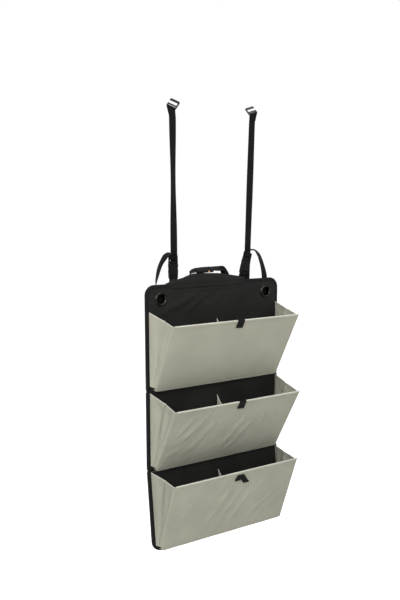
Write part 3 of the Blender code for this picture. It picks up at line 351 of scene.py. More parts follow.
def sweep(rings):
    """A solid through rings of points, with UVs along the run and round the ring in metres."""
    bm = bmesh.new()
    layer = bm.loops.layers.uv.new("cloth")
    loops = [[bm.verts.new(p) for p in ring] for ring in rings]
    count = len(rings[0])
    around, run = [0.0], [0.0]
    for i in range(count):
        around.append(around[-1] + (Vector(rings[0][i]) - Vector(rings[0][(i + 1) % count])).length)
    for a, b in zip(rings, rings[1:]):
        run.append(run[-1] + (centre_of(a) - centre_of(b)).length)
    for a, b, at, to in zip(loops, loops[1:], run, run[1:]):
        for i in range(count):
            j = (i + 1) % count
            face = bm.faces.new((a[i], a[j], b[j], b[i]))
            corners = ((at, around[i]), (at, around[i + 1]), (to, around[i + 1]), (to, around[i]))
            for loop, uv in zip(face.loops, corners):
                loop[layer].uv = uv
    for ring, at in ((loops[0], run[0]), (loops[-1], run[-1])):
        for loop, turn in zip(bm.faces.new(ring).loops, around):
            loop[layer].uv = (at, turn)
    return bm


def centre_of(ring):
    return sum((Vector(p) for p in ring), Vector()) / len(ring)


def paint_light_or_shade(obj, chosen, cloth=RIM_HIGHLIGHT):
    """Gives another cloth to the faces that chosen(face) picks: by default the painted rim highlight, else a
    painted shade.
    """
    obj.data.materials.append(cloth)
    index = len(obj.data.materials) - 1
    for face in obj.data.polygons:
        if chosen(face):
            face.material_index = index


def applied(obj):
    """Keeps in the mesh what the modifiers do, and clears them."""
    mesh = bpy.data.meshes.new_from_object(obj.evaluated_get(bpy.context.evaluated_depsgraph_get()))
    obj.modifiers.clear()
    obj.data = mesh
    return mesh


def folds_in(obj, name, place, axis, anchor):
    """Gives a soft piece its own copy of its mesh."""
    axis, anchor = place.to_3x3() @ axis, place @ Vector(anchor)
    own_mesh(obj)
    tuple(axis)
    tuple(anchor)


def fade(t):
    t = min(1.0, max(0.0, t))
    return t * t * (3 - 2 * t)


def steps_to(a, b, step=0.006):
    """Even steps from a to b."""
    count = max(1, math.ceil(abs(b - a) / step))
    return [a + (b - a) * k / count for k in range(count + 1)]


def level_at(table, x):
    """The height at x of a line through the places of a table."""
    for (x0, z0), (x1, z1) in zip(table, table[1:]):
        if x <= x1:
            return z0 + (z1 - z0) * (x - x0) / (x1 - x0)
    return table[-1][1]


def ridges(x, z, lines):
    """Height of soft creases: each a line from (x0, z0) to (x1, z1) with a width and a height."""
    height = 0.0
    for x0, z0, x1, z1, width, rise in lines:
        dx, dz = x1 - x0, z1 - z0
        long = math.hypot(dx, dz)
        along = ((x - x0) * dx + (z - z0) * dz) / long
        off = ((x - x0) * dz - (z - z0) * dx) / long
        if -width < along < long + width:
            ends = fade((along + width) / (long * 0.4)) * fade((long + width - along) / (long * 0.4))
            height += rise * ends * math.exp(-((off / width) ** 2))
    return height


BEAD = ((-0.5, 0.35), (-0.3, 1.0), (0.3, 1.0), (0.5, 0.35))  # places along a stitch, and its thickness there
HEXAGON = [(math.cos(k * math.pi / 3), math.sin(k * math.pi / 3)) for k in range(6)]


def stitches(name, runs, rise, body, material, length=0.0032, step=0.0046, radius=0.00028):
    """Thread along runs of (point, outward) pairs: short beads pressed into the cloth."""
    bm = bmesh.new()
    for run in runs:
        travelled = 0.0
        target = step / 2
        for (a, out), (b, _) in zip(run, run[1:]):
            span = (b - a).length
            if span < 1e-7:
                continue
            way = (b - a) / span
            side = way.cross(out).normalized()
            while travelled + span >= target:
                centre = a + way * (target - travelled) + out * rise
                rings = []
                for share, size in BEAD:
                    middle = centre + way * (length * share) - out * (radius * 0.9 * (1.0 - size))
                    thick = [(side * (c * radius * size), out * (s * radius * size)) for c, s in HEXAGON]
                    rings.append([bm.verts.new(middle + across + up) for across, up in thick])
                for r, s in zip(rings, rings[1:]):
                    for k in range(6):
                        bm.faces.new((r[k], r[(k + 1) % 6], s[(k + 1) % 6], s[k]))
                bm.faces.new(rings[0])
                bm.faces.new(rings[-1])
                target += step
            travelled += span
    return finish_piece(name, bm, Matrix(), material, body, smooth=60.0)


UPPER_FACE = (  # half of the outline of webbing, in shares of its width and its thickness
    (0.5, 0.0), (0.487, 0.33), (0.455, 0.5), (0.25, 0.5),
    (0.0, 0.5), (-0.25, 0.5), (-0.455, 0.5), (-0.487, 0.33),
)
OUTLINE = (*UPPER_FACE, *((-across, -up) for across, up in UPPER_FACE))


def ribbon(points, sides, width, thickness, square=True):
    """Flat webbing with rounded edges along points, its width along the unit vectors in sides."""
    rings = []
    for i, point in enumerate(points):
        after = (points[min(i + 1, len(points) - 1)] - points[min(i, len(points) - 2)]).normalized()
        before = (points[max(i, 1)] - points[max(i - 1, 0)]).normalized()
        run = (before + after).normalized()
        mitre = 1.0 / max(run.dot(after), 0.7)
        side = sides[i] - run * sides[i].dot(run) if square else sides[i].copy()
        side.normalize()
        face = run.cross(side).normalized()
        rings.append([point + side * (width * a) + face * (thickness * mitre * up) for a, up in OUTLINE])
    return sweep(rings)


def strap(name, points, sides, body, place=Matrix(), replaces=(), thick=SLIM):
    """A length of the strap webbing, as wide as the buckles take."""
    bm = ribbon(points, sides, WIDE, thick)
    return finish_piece(name, bm, place, STRAP, body, replaces, smooth=50.0)


def on_curve(a, b, c, d, t):
    """A value on the smooth curve from b to c, with a before and d after them (Catmull-Rom)."""
    return 0.5 * (2 * b + (c - a) * t + (2 * a - 5 * b + 4 * c - d) * t**2 + (3 * b - a - 3 * c + d) * t**3)


def smooth_run(stations, steps):
    """Equal shares of a smooth curve through stations of any number of values."""
    first = [2 * p - q for p, q in zip(stations[0], stations[1])]
    last = [2 * p - q for p, q in zip(stations[-1], stations[-2])]
    ends = [first, *stations, last]
    run = []
    for four in zip(ends, ends[1:], ends[2:], ends[3:]):
        run += [[on_curve(*values, step / steps) for values in zip(*four)] for step in range(steps)]
    return [*run, list(stations[-1])]


def denser(points, sides, step=0.006):
    """More points on the same ribbon, so that it takes a gentle wave."""
    out_points, out_sides = [points[0]], [sides[0]]
    for a, b, s, t in zip(points, points[1:], sides, sides[1:]):
        count = max(1, math.ceil((b - a).length / step))
        for k in range(1, count + 1):
            out_points.append(a.lerp(b, k / count))
            out_sides.append(s.lerp(t, k / count).normalized())
    return out_points, out_sides


# Back sections

# Each crease: from x, z to x, z, its width and its height, in tenths of a millimetre
CREASES = {
    "upper": metres(
        (
            (-1750, 2380, -600, 2900, 100, 14), (-1200, 2250, -300, 2840, 80, 12),
            (-2150, 2180, -1500, 2620, 80, 9), (-500, 2320, 400, 2800, 120, 8),
            (300, 2050, 600, 2900, 100, 6), (1100, 2150, 1800, 2500, 120, 6),
            (-1600, 2960, 1500, 2990, 40, 6),
        )
    ),
    "middle": metres(
        (
            (-1500, 1100, -600, 2000, 140, 7), (600, 900, 1500, 1900, 140, 7),
        )
    ),
    "lower": metres(
        (
            (-1600, 1000, -700, 1900, 140, 7), (800, 800, 1500, 2000, 140, 7),
        )
    ),
}


def corner_half(section, z):
    """Half the width of a section's skin at a height, with its rounded corners."""
    inner = HALF - SKIN_IN
    past = {
        "upper": z - (UPPER_HEIGHT - CORNER["upper"]),
        "middle": 0.0,
        "lower": FOOT_Z + CORNER["lower"] - z,
    }[section]
    if past <= 0.0:
        return inner
    radius = SKIN_CORNER[section]
    return inner - radius + math.sqrt(max(radius**2 - past**2, 0.0))


def skin(section, back):
    """The black cloth on one face of a section. Its creases fade out before the binding."""
    low = FOOT_Z + SKIN_IN if section == "lower" else 0.0
    top = HEIGHT[section] - (SKIN_IN if section == "upper" else 0.0)
    rows, columns = (64 if section == "upper" else 44), 72

    def at(share, across):
        if section == "upper":  # rows gather at the rounded corners
            share = math.sin(share * math.pi / 2) ** 0.9
        if section == "lower":
            share = 1.0 - math.sin((1.0 - share) * math.pi / 2) ** 0.9
        z = low + (top - low) * share
        x = corner_half(section, z) * (2.0 * across - 1.0)
        edge = fade((HALF - REACH - abs(x)) / 0.02)
        edge *= fade((z - low) / 0.02) * fade((top - 0.010 - z) / 0.015)
        if section == "upper":
            for _, side in SIDES:
                away = math.hypot(x - side * EYELET.x, z - EYELET.z)
                edge *= fade((away - 0.0220) / 0.018)
        if back:
            rise = 0.0005 * edge * noise(Vector((x * 14, z * 22, 3.0)))
            return (x, BOARD + max(rise, -0.0003), z), (x, BOARD - CLOTH, z), (x, z)
        rise = 2.1 * ridges(x, z, CREASES[section])
        rise += 0.0005 * noise(Vector((x * 16 + z * 9, z * 20, 1.0)))
        return (x, -max(rise, -0.0002) * edge, z), (x, CLOTH, z), (x, z)

    kind = "back" if back else "front"
    obj = finish_piece(
        f"{section}_{kind}_cloth", slab(shares(rows), shares(columns), at), PLACE[section], BLACK,
        f"{section}_section", [f"{section}_{kind}_skin"],
    )
    if section == "upper":
        punch_eyelets(obj)


PUNCH = 0.0160  # radius of the holes in the cloth, just clear of the eyelets


def punch_eyelets(obj):
    """Round holes for the two eyelets, cut and kept in the mesh."""
    bm = bmesh.new()
    for _, side in SIDES:
        spot = PLACE["upper"] @ Vector((side * EYELET.x, BOARD / 2, EYELET.z))
        turn = Matrix.Translation(spot) @ Matrix.Rotation(math.pi / 2, 4, "X")
        bmesh.ops.create_cone(
            bm, cap_ends=True, segments=48, radius1=PUNCH, radius2=PUNCH, depth=0.04, matrix=turn
        )
    tool = mesh_object("punch", bm)
    modifier = obj.modifiers.new("holes", "BOOLEAN")
    modifier.operation = "DIFFERENCE"
    modifier.solver = "EXACT"
    modifier.object = tool
    bpy.context.view_layer.update()
    applied(obj)
    bpy.data.objects.remove(tool)


def arc(x, z, radius, start, end, steps=14):
    """Places on a rounded corner, each with its outward direction. The angles are in quarter turns."""
    made = []
    for k in range(steps + 1):
        angle = (start + (end - start) * k / steps) * math.pi / 2
        c, s = math.cos(angle), math.sin(angle)
        made.append((x + radius * c, z + radius * s, c, s))
    return made


def filled(edge, step=0.006):
    """An edge with more places on its straight runs, which keep the outward direction they start with."""
    out = [edge[0]]
    for a, b in zip(edge, edge[1:]):
        long = math.hypot(b[0] - a[0], b[1] - a[1])
        if long > 2 * step:
            count = math.ceil(long / step)
            for k in range(1, count):
                out.append((a[0] + (b[0] - a[0]) * k / count, a[1] + (b[1] - a[1]) * k / count, a[2], a[3]))
        out.append(b)
    return out


TOP_R, LOW_R = CORNER["upper"], CORNER["lower"]
TOP_ROUND, LOW_ROUND = UPPER_HEIGHT - TOP_R, FOOT_Z + LOW_R  # heights of the corners' centres
EDGES = {
    "upper": filled(
        [
            (-HALF, 0.0, -1.0, 0.0),
            *arc(TOP_R - HALF, TOP_ROUND, TOP_R, 2, 1),
            *arc(HALF - TOP_R, TOP_ROUND, TOP_R, 1, 0),
            (HALF, 0.0, 1.0, 0.0),
        ]
    ),
    "middle_left": filled([(-HALF, 0.0, -1.0, 0.0), (-HALF, POCKET_HEIGHT, -1.0, 0.0)]),
    "middle_right": filled([(HALF, 0.0, 1.0, 0.0), (HALF, POCKET_HEIGHT, 1.0, 0.0)]),
    "lower": filled(
        [
            (HALF, POCKET_HEIGHT, 1.0, 0.0),
            *arc(HALF - LOW_R, LOW_ROUND, LOW_R, 0, -1),
            *arc(LOW_R - HALF, LOW_ROUND, LOW_R, -1, -2),
            (-HALF, POCKET_HEIGHT, -1.0, 0.0),
        ]
    ),
}
TAPE = 0.0011  # thickness of the edge tape
BEND = 0.0040  # radius of its fold
HEEL = 0.0065  # where it lies lowest on the face
STITCH_IN = 0.0068  # its seam, from the edge


def tape_face(level, inward, pucker):
    """One face of the folded tape from its selvedge to mid-fold, outside and inside."""
    outer = [
        (REACH, level + inward * 0.0003),
        (REACH - 0.0008, level + inward * pucker * 0.5),
        (HEEL, level - inward * pucker * 0.4),
    ]
    for k in range(6):
        angle = math.pi / 2 * k / 5
        outer.append((BEND - BEND * math.sin(angle), level + inward * (BEND - BEND * math.cos(angle))))
    lining = level + inward * TAPE
    inner = [(REACH, lining), (BEND, lining), (TAPE * 1.25, level + inward * BEND)]
    return outer, inner


def binding(key, section, node):
    """Woven tape folded round the edge: rounded fold, puckers at the stitching, thin selvedges."""
    rings = []
    near, far = -STAND, BACK
    for index, (x, z, ox, oz) in enumerate(EDGES[key]):
        pucker = 0.00016 * math.sin(index * 1.9) + 0.00012 * math.sin(index * 0.83 + 1.0)
        near_outer, near_inner = tape_face(near, 1, pucker)
        far_outer, far_inner = tape_face(far, -1, pucker)
        profile = [*near_outer, *reversed(far_outer), *far_inner, *reversed(near_inner)]
        rings.append([(x - ox * i, y, z - oz * i) for i, y in profile])
    body = f"{section}_section"
    finish_piece(f"{node}_tape", sweep(rings), PLACE[section], BINDING, body, [node])
    runs = []
    for y, out in ((near, FORWARD), (far, BACKWARD)):
        outward = PLACE[section].to_3x3() @ out
        seam = [(x - ox * STITCH_IN, y, z - oz * STITCH_IN) for x, z, ox, oz in EDGES[key]]
        runs.append([(PLACE[section] @ Vector(p), outward) for p in seam])
    stitches(f"{node}_stitching", runs, 0.00004, body, THREAD_BLACK)


for section in NAMES:
    skin(section, False)
    skin(section, True)
binding("upper", "upper", "upper_edge_binding")
binding("middle_left", "middle", "middle_left_binding")
binding("middle_right", "middle", "middle_right_binding")
binding("lower", "lower", "lower_edge_binding")


# Pockets

FRONT_CREASES = {
    "upper": metres(
        (
            (-800, 2050, 600, 1900, 200, 6), (800, 600, 1600, 1300, 240, 6),
            (-1800, 600, -900, 1400, 240, 5),
        )
    ),
    "middle": metres(
        (
            (-2000, 900, -1100, 2000, 90, 19), (-2150, 1250, -1600, 2050, 70, 15),
            (-1500, 500, -750, 1650, 100, 14), (-400, 100, 600, 1900, 120, 17),
            (50, 150, 900, 1650, 90, 13), (1300, 2150, 1900, 800, 100, 16),
            (1000, 2000, 1500, 600, 90, 12), (1800, 2000, 2150, 1100, 90, 13),
            (-2300, 500, -1800, 750, 80, 8),
        )
    ),
    "lower": metres(
        (
            (-2000, 1600, -1000, 1100, 100, 13), (-1950, 1200, -1100, 750, 90, 12),
            (-1050, 300, 0, 2000, 110, 15), (-600, 200, 450, 1900, 90, 16),
            (-100, 150, 750, 1650, 100, 14), (700, 400, 1700, 1200, 120, 13),
            (1100, 300, 2100, 950, 100, 10), (400, 1100, 1400, 1900, 120, 9),
        )
    ),
}
CREASE_SHARE = {"upper": (0.55, 0.0004), "middle": (2.2, 0.0012), "lower": (2.1, 0.0011)}
EDGE_ROUND = 0.0014  # radius of the front's edges
HEM_DEEP = 0.0085  # the rim's tape reaches this far down the front
SEAM_IN = 0.0045  # the front's seam, from its edge


def front_half(s):
    return FRONT_LOW + (FRONT_TOP - FRONT_LOW) * s / FRONT_LENGTH


def pocket_front(name):
    """Cloth sewn round a board: creased outer face, rounded edges and a lining behind."""
    strength, rough = CREASE_SHARE[name]

    def at(share, across):
        s = FRONT_LENGTH * share
        half = front_half(s)
        x = half * (2.0 * across - 1.0)
        rim = min(half - abs(x), s)
        inside = fade(rim / 0.018) * fade((FRONT_LENGTH - s) / 0.014)
        lift = strength * ridges(x, s, FRONT_CREASES[name])
        lift += rough * noise(Vector((x * 11 + s * 6, s * 12, 5.0)))
        rounding = EDGE_ROUND * (1.0 - min(rim / EDGE_ROUND, 1.0)) ** 2
        lining = FRONT_THICK - 0.0004 * fade(rim / 0.01)
        return (x, rounding - max(lift, -0.0004) * inside, s), (x * 0.9995, lining, s), (x, s)

    obj = finish_piece(
        f"{name}_pocket_cloth", slab(shares(52), shares(96), at), HINGE[name], FRONT_CLOTH[name],
        f"{name}_pocket", [f"{name}_pocket_front", f"{name}_pocket_stiffener"],
    )
    welt = foot_welt(name)
    y = -0.0001
    seams = [[(side * (front_half(s) - SEAM_IN), y, s) for s in steps_to(0.004, 0.222)] for _, side in SIDES]
    seams.append([(x, y, SEAM_IN) for x in steps_to(0.006 - FRONT_LOW, FRONT_LOW - 0.006)])
    front_stitches(f"{name}_front_stitching", name, seams)


def front_stitches(label, name, seams):
    """Grey seams on the outer face of a pocket front."""
    out = HINGE[name].to_3x3() @ FORWARD
    runs = [[(HINGE[name] @ Vector(p), out) for p in seam] for seam in seams]
    stitches(label, runs, 0.00002, f"{name}_pocket", THREAD_GREY)


def foot_welt(name):
    """The turned seam allowance that hangs a little below the foot of the front."""
    half = FRONT_LOW - 0.0004
    top = 0.0010

    def at(x, share):
        drop = 0.0030 + 0.0026 * fade((half - abs(x)) / 0.010) + 0.0003 * math.sin(x * 47.0 + 1.0)
        s = top - (drop + top) * share
        bulge = 0.0007 * math.sin(math.pi * share)
        return (x, 0.0007 - bulge, s), (x, 0.0024 + 0.0003 * bulge, s), (x, s)

    obj = finish_piece(
        f"{name}_foot_welt", slab(steps_to(-half, half), shares(5), at), HINGE[name], FRONT_CLOTH[name],
        f"{name}_pocket",
    )
    folds_in(obj, name, HINGE[name], UP, (0.0, 0.0, top))
    return obj


def rim_tape(name):
    """Tape folded over the rim, with a row of stitches and slight waves. Its upward faces take a painted
    highlight.
    """
    reach = FRONT_TOP - 0.007
    thick, bend = 0.0007, 0.0022
    out_y, in_y = -0.0011, FRONT_THICK + 0.0011
    middle, half = (out_y + in_y) / 2, (in_y - out_y) / 2
    crown, foot = FRONT_LENGTH + 0.0011, FRONT_LENGTH - HEM_DEEP
    rings = []
    for x in steps_to(-reach, reach, 0.007):
        wave = 0.00022 * math.sin(x * 95.0) + 0.00018 * math.sin(x * 211.0 + 1.0)
        profile = [(out_y + 0.0001, foot + wave), (out_y, foot + 0.003 + wave)]
        for k in range(7):
            angle = math.pi * k / 6
            profile.append((middle - half * math.cos(angle), crown - bend + bend * math.sin(angle)))
        profile += [(in_y, foot + 0.003), (in_y, foot), (in_y - thick, foot), (in_y - thick, crown - bend)]
        profile += [(middle, crown - thick), (out_y + thick, crown - bend), (out_y + thick, foot + wave)]
        rings.append([(x, y, z) for y, z in profile])
    obj = finish_piece(
        f"{name}_rim_tape", sweep(rings), HINGE[name], FRONT_CLOTH[name], f"{name}_pocket",
        [f"{name}_pocket_hem"],
    )
    crest = HINGE[name].to_3x3() @ UP
    # Painted highlight on the faces that turn up.
    paint_light_or_shade(obj, lambda face: face.normal.dot(crest) > 0.72)
    seam = [(x, out_y, foot + 0.0022) for x in steps_to(0.004 - reach, reach - 0.004)]
    front_stitches(f"{name}_rim_stitching", name, [seam])


def tab_leaf(name, top_x, length, skew, kick, stand, width):
    """One leaf of the lowest tab, from under the hem down, turned sideways by skew and out by kick."""
    skew, kick = math.radians(skew), math.radians(kick)
    points = []
    top = FRONT_LENGTH - HEM_DEEP
    for k in range(12):
        share = k / 11
        off = stand + length * share * math.sin(kick * share)
        points.append(Vector((top_x + length * share * math.tan(skew), -off, top - length * share)))
    bm = ribbon(points, [RIGHT] * len(points), width, 0.0012, square=False)
    return finish_piece(name, bm, HINGE["lower"], STRAP, "lower_pocket")


def pull_tab(name):
    """Webbing folded over the rim. The lowest one comes out under the hem as a skewed loop of two leaves."""
    x = 0.006
    if name == "lower":
        tab_leaf("lower_tab_inner_leaf", x - 0.0010, 0.0195, -23.0, 6.0, 0.0019, 0.0220)
        leaf = tab_leaf("lower_tab_webbing", x + 0.0010, 0.0262, 39.0, 20.0, 0.0034, 0.0240)
        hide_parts("lower_pull_tab")
        return
    stand = GAP + 0.0008 + GAP + 0.00065
    outer, inner, crown = -stand, FRONT_THICK + stand, FRONT_LENGTH + stand
    middle, half = (outer + inner) / 2, (inner - outer) / 2
    points = [Vector((x, inner, crown - 0.013)), Vector((x, inner, crown - half))]
    for k in range(1, 8):
        angle = math.pi * k / 8
        points.append(Vector((x, middle + half * math.cos(angle), crown - half + half * math.sin(angle))))
    for k in range(1, 9):
        share = k / 8
        drop = 0.023 * share
        y = outer - drop * math.sin(math.radians(2.0) * share)
        points.append(Vector((x - 0.0015 * share, y, crown - half - drop)))
    finish_piece(
        f"{name}_tab_webbing", ribbon(points, [RIGHT] * len(points), 0.027, 0.0013),
        HINGE[name], STRAP, f"{name}_pocket", [f"{name}_pull_tab"],
    )


def behind_front(distance, opening):
    """y and z of a place on the inner face of an open front, this far up from its foot."""
    depth = FRONT_THICK + GAP
    y = -DEPTH - distance * math.sin(opening) + depth * math.cos(opening)
    z = distance * math.cos(opening) + depth * math.sin(opening)
    return y, z


TUCK = {"left": 0.010, "right": 0.002}  # how far the crease is pushed in at the rim
SAG = {"left": 0.0045, "right": -0.0005}  # how far the rim hangs through at the crease
SEAT = {"upper": -0.0016, "middle": -0.0003, "lower": -0.0018}  # y where the cloth meets the board's foot
SEED = {"upper": 0.0, "middle": 7.0, "lower": 13.0}  # sets the folds of one pocket apart from the next


def gusset(name, side_name, side):
    """Pleated cloth side: sewn seams at both edges, a crease between, soft folds and a rim hem. A band along
    the rim is painted highlight; below the upper pocket the crease is painted shade.
    """
    opening = OPENING[name]
    sag = SAG[side_name]
    back_top = Vector((SEAM, -GAP, POCKET_HEIGHT))
    back_foot = Vector((SEAM, SEAT[name], 0.012))
    front_top = Vector((FRONT_TOP - 0.0025, *behind_front(FRONT_LENGTH - 0.0025, opening)))
    front_foot = Vector((FRONT_LOW - 0.0025, *behind_front(0.004, opening)))
    crease_top = (back_top + front_top) / 2 - Vector((TUCK[side_name], 0.0, sag))
    crease_foot = (back_foot + front_foot) / 2
    seed = SEED[name] + (3.0 if side > 0 else 0.0)
    inward = PLACE[name].inverted()

    def in_highlight_band(face):
        """Whether a face lies above the lower edge of the painted highlight band along the rim."""
        place = inward @ face.center
        share = (place.y - back_top.y) / (front_top.y - back_top.y)
        level = back_top.z + (front_top.z - back_top.z) * share
        return place.z > level - sag * (1.0 - abs(2.0 * share - 1.0)) - 0.0016

    def on_crease(face):
        place = inward @ face.center
        share = (place.z - crease_foot.z) / (crease_top.z - crease_foot.z)
        span = back_foot.lerp(back_top, share).y - front_foot.lerp(front_top, share).y
        return 0.03 < share < 0.985 and abs(place.y - crease_foot.lerp(crease_top, share).y) < 0.014 * span

    rows, columns = 44, 40
    along = [*(i / rows for i in range(rows)), 0.989, 1.0]  # closer at the band, the crease and the seam
    across = sorted({*shares(columns), 0.484, 0.492, 0.508, 0.516, 0.905, 0.915, 0.935, 0.945})

    def at(v, u):
        back, front = back_foot.lerp(back_top, v), front_foot.lerp(front_top, v)
        crease = crease_foot.lerp(crease_top, v)
        p = back.lerp(crease, u * 2) if u < 0.5 else crease.lerp(front, u * 2 - 1)
        hold = math.sin(math.pi * u) ** 0.7 if 0.0 < u < 1.0 else 0.0
        fold = 0.0022 * math.sin(u * 14.0 + seed + v * 3.5)
        fold += 0.0030 * noise(Vector((u * 4.0, v * 3.0, seed)))
        fold += 0.0016 * abs(math.sin(u * 6.0 - v * 5.0 + seed)) ** 3
        wave = fold * hold * fade(v * 1.6) * (0.6 if name == "upper" else 1.4)
        wave *= 1.0 - 0.9 * fade((v - 0.86) / 0.14)
        wave += 0.0022 * math.exp(-(((u - 0.5) / 0.014) ** 2)) * fade(v * 4.0)  # the crease
        wave += 0.0010 * math.exp(-(((u - 0.925) / 0.012) ** 2))  # the seam at the front
        x = p.x - max(wave, -0.0002)
        thick = CLOTH + (0.0007 if v > 0.985 else 0.0)
        uv = ((front - back).length * u, p.z)
        return (side * x, p.y, p.z), (side * (x - thick), p.y, p.z), uv

    obj = finish_piece(
        f"{name}_{side_name}_gusset_cloth", slab(along, across, at), PLACE[name], GUSSET_CLOTH[name],
        f"{name}_section", [f"{name}_{side_name}_gusset"],
    )
    # Painted highlight on the band along the rim.
    paint_light_or_shade(obj, in_highlight_band)
    # Painted shade along the crease, below the upper pocket.
    if name != "upper":
        paint_light_or_shade(obj, on_crease, CREASE_SHADE)
    folds_in(obj, name, PLACE[name], BACKWARD, (0.0, 0.0, 0.0))


def side_return(name, side_name, side):
    """The turned edge of the front that the gusset is sewn to, deeper at the foot than at the rim."""

    def at(s, share):
        x = front_half(s) - 0.0012
        y = FRONT_THICK - 0.0006 + (0.0115 + (0.0028 - 0.0115) * s / FRONT_LENGTH) * share
        ease = 0.0002 * math.sin(s * 120.0) * share
        return (side * (x + ease), y, s), (side * (x + ease - 0.0008), y, s), (y, s)

    bm = slab(steps_to(0.003, FRONT_LENGTH - 0.004, 0.008), shares(3), at)
    label = f"{name}_{side_name}_seam_return"
    finish_piece(label, bm, HINGE[name], GREY, f"{name}_pocket")


# The sagging top edge of the divider: distance from the back section, and height
DIVIDER_TOP = metres(
    (
        (0, 2000), (50, 1930), (140, 1820), (246, 1740), (400, 1705), (580, 1675), (780, 1590),
        (960, 1490),
    )
)


def divider(name):
    """Cloth wall with a sagging hemmed top edge and a flange sewn to the back section. The top edge's faces
    take a painted highlight.
    """
    rows, columns = 27, 36
    y_foot, z_foot = behind_front(0.004, OPENING[name])
    y_top, z_top = behind_front(0.166, OPENING[name])
    section = f"{name}_section"

    def at(v, u):
        top_z = level_at(DIVIDER_TOP, -y_top * u) + (z_top - DIVIDER_TOP[-1][1]) * u
        y = (-GAP + (y_foot + GAP) * u) * (1 - v) + (-GAP + (y_top + GAP) * u) * v
        z = (0.010 + (z_foot - 0.010) * u) * (1 - v) + top_z * v
        x = 0.005 + 0.0022 * math.sin(math.pi * u) * noise(Vector((u * 3.0, v * 2.0, 9.0)))
        thick = 0.0004 + (0.0005 if v > 0.96 else 0.0)
        return (x - thick, y, z), (x + thick, y, z), (-y, z)

    along = [*(i / (rows - 1) for i in range(rows - 1)), 0.986, 1.0]
    obj = finish_piece(
        f"{name}_divider_cloth", slab(along, shares(columns), at), PLACE[name], GREY, section,
        [f"{name}_divider"],
    )
    wide = columns + 1
    # Painted highlight on the faces of the top row.
    highlight_row = {(face * (rows + 1) + rows) * wide + j for face in (0, 1) for j in range(wide)}
    paint_light_or_shade(obj, lambda face: sum(i in highlight_row for i in face.vertices) >= 2)
    folds_in(obj, name, PLACE[name], BACKWARD, (0.0, 0.0, 0.0))

    def on_flange(z, share):
        x, y = 0.0045 - 0.0075 * share, -0.0016 + 0.0004 * share
        return (x, y, z), (x, -0.0008, z), (0.0075 * share, z)

    bm = slab(steps_to(0.012, 0.198, 0.008), shares(3), on_flange)
    finish_piece(f"{name}_divider_flange", bm, PLACE[name], BLACK, section)


def floor_cloth(name):
    """The pocket's floor, from the board to the foot of the front, with a slight dip."""
    half = FRONT_LOW - 0.001
    front = FRONT_THICK - DEPTH + 0.0006
    deep = SEAT[name] - front

    def at(x, share):
        dip = 0.0006 * math.sin(math.pi * share) * (0.7 + 0.3 * math.sin(x * 60.0))
        y = front + deep * share
        return (x, y, -dip), (x, y, CLOTH - dip), (x, y)

    obj = finish_piece(
        f"{name}_floor_cloth", slab(steps_to(-half, half, 0.008), shares(6), at), PLACE[name], GREY,
        f"{name}_section", [f"{name}_pocket_floor"],
    )


for name in NAMES:
    floor_cloth(name)
    pocket_front(name)
    rim_tape(name)
    pull_tab(name)
    divider(name)
    for side_name, side in SIDES:
        gusset(name, side_name, side)
        side_return(name, side_name, side)


# Straps

BUCKLE_X = {"left": -0.155, "right": 0.1315}
BUCKLE_LEAN = {"left": 0.0, "right": math.radians(17.0)}
HOOK_PITCH = {"left": math.radians(38.0), "right": math.radians(-34.0)}
HOOK_ROLL = math.radians(17.0)
STRAP_TWIST = {"left": math.radians(20.0), "right": math.radians(-6.0)}
BAR_WRAP = math.hypot(0.0045 / 2, 0.0032 / 1.6) + GAP + WEBBING / 2  # radius of webbing round a bar
LADDER_WRAP = math.hypot(0.0030 / 2, 0.0026) + GAP + WEBBING / 2
HOOK_WRAP = math.hypot(0.0045, 0.0032) / 2 + 3 * GAP + WEBBING / 2
BUCKLE_Y = ANCHOR_Y - BAR_WRAP
CLOSING_RUN = {  # x, depth behind the panel's front, height above its top, and turn in degrees
    "left": metres(
        (
            (-1620, 30, 930, -40.0), (-1720, 65, 912, -62.0), (-1805, 105, 850, -76.0),
            (-1868, 155, 735, -84.0), (-1943, 190, 580, -91.0), (-1997, 212, 415, -95.0),
            (-2037, 228, 242, -102.0), (-2073, 238, 69, -112.0), (-2083, 230, -100, -126.0),
            (-2050, 190, -270, -155.0), (-2015, 152, -440, -176.0), (-2030, 150, -700, -180.0),
        ),
        plain=1,
    ),
    "right": metres(
        (
            (1460, 30, 925, 30.0), (1570, 42, 930, 58.0), (1685, 60, 880, 39.0),
            (1858, 100, 740, 30.0), (1995, 145, 537, 25.0), (2095, 180, 335, 19.0),
            (2164, 200, 133, 10.0), (2191, 205, -20, 6.0), (2175, 180, -220, 3.0),
            (2145, 152, -440, 0.0), (2135, 150, -700, 0.0),
        ),
        plain=1,
    ),
}


def box_stitch(name, x, y, low, high):
    """A sewn box with a cross in it, on the back of a strap, between two heights below the top."""
    places = ((-1, low), (1, low), (1, high), (-1, high))
    a, b, c, d = (Vector((x + across * 0.0095, y, TOP_Z + z)) for across, z in places)
    runs = [[(p, BACKWARD), (q, BACKWARD)] for p, q in ((a, b), (b, c), (c, d), (d, a), (a, c), (b, d))]
    stitches(name, runs, 0.00005, "upper_section", THREAD_BLACK, 0.0024, 0.0034, 0.00026)


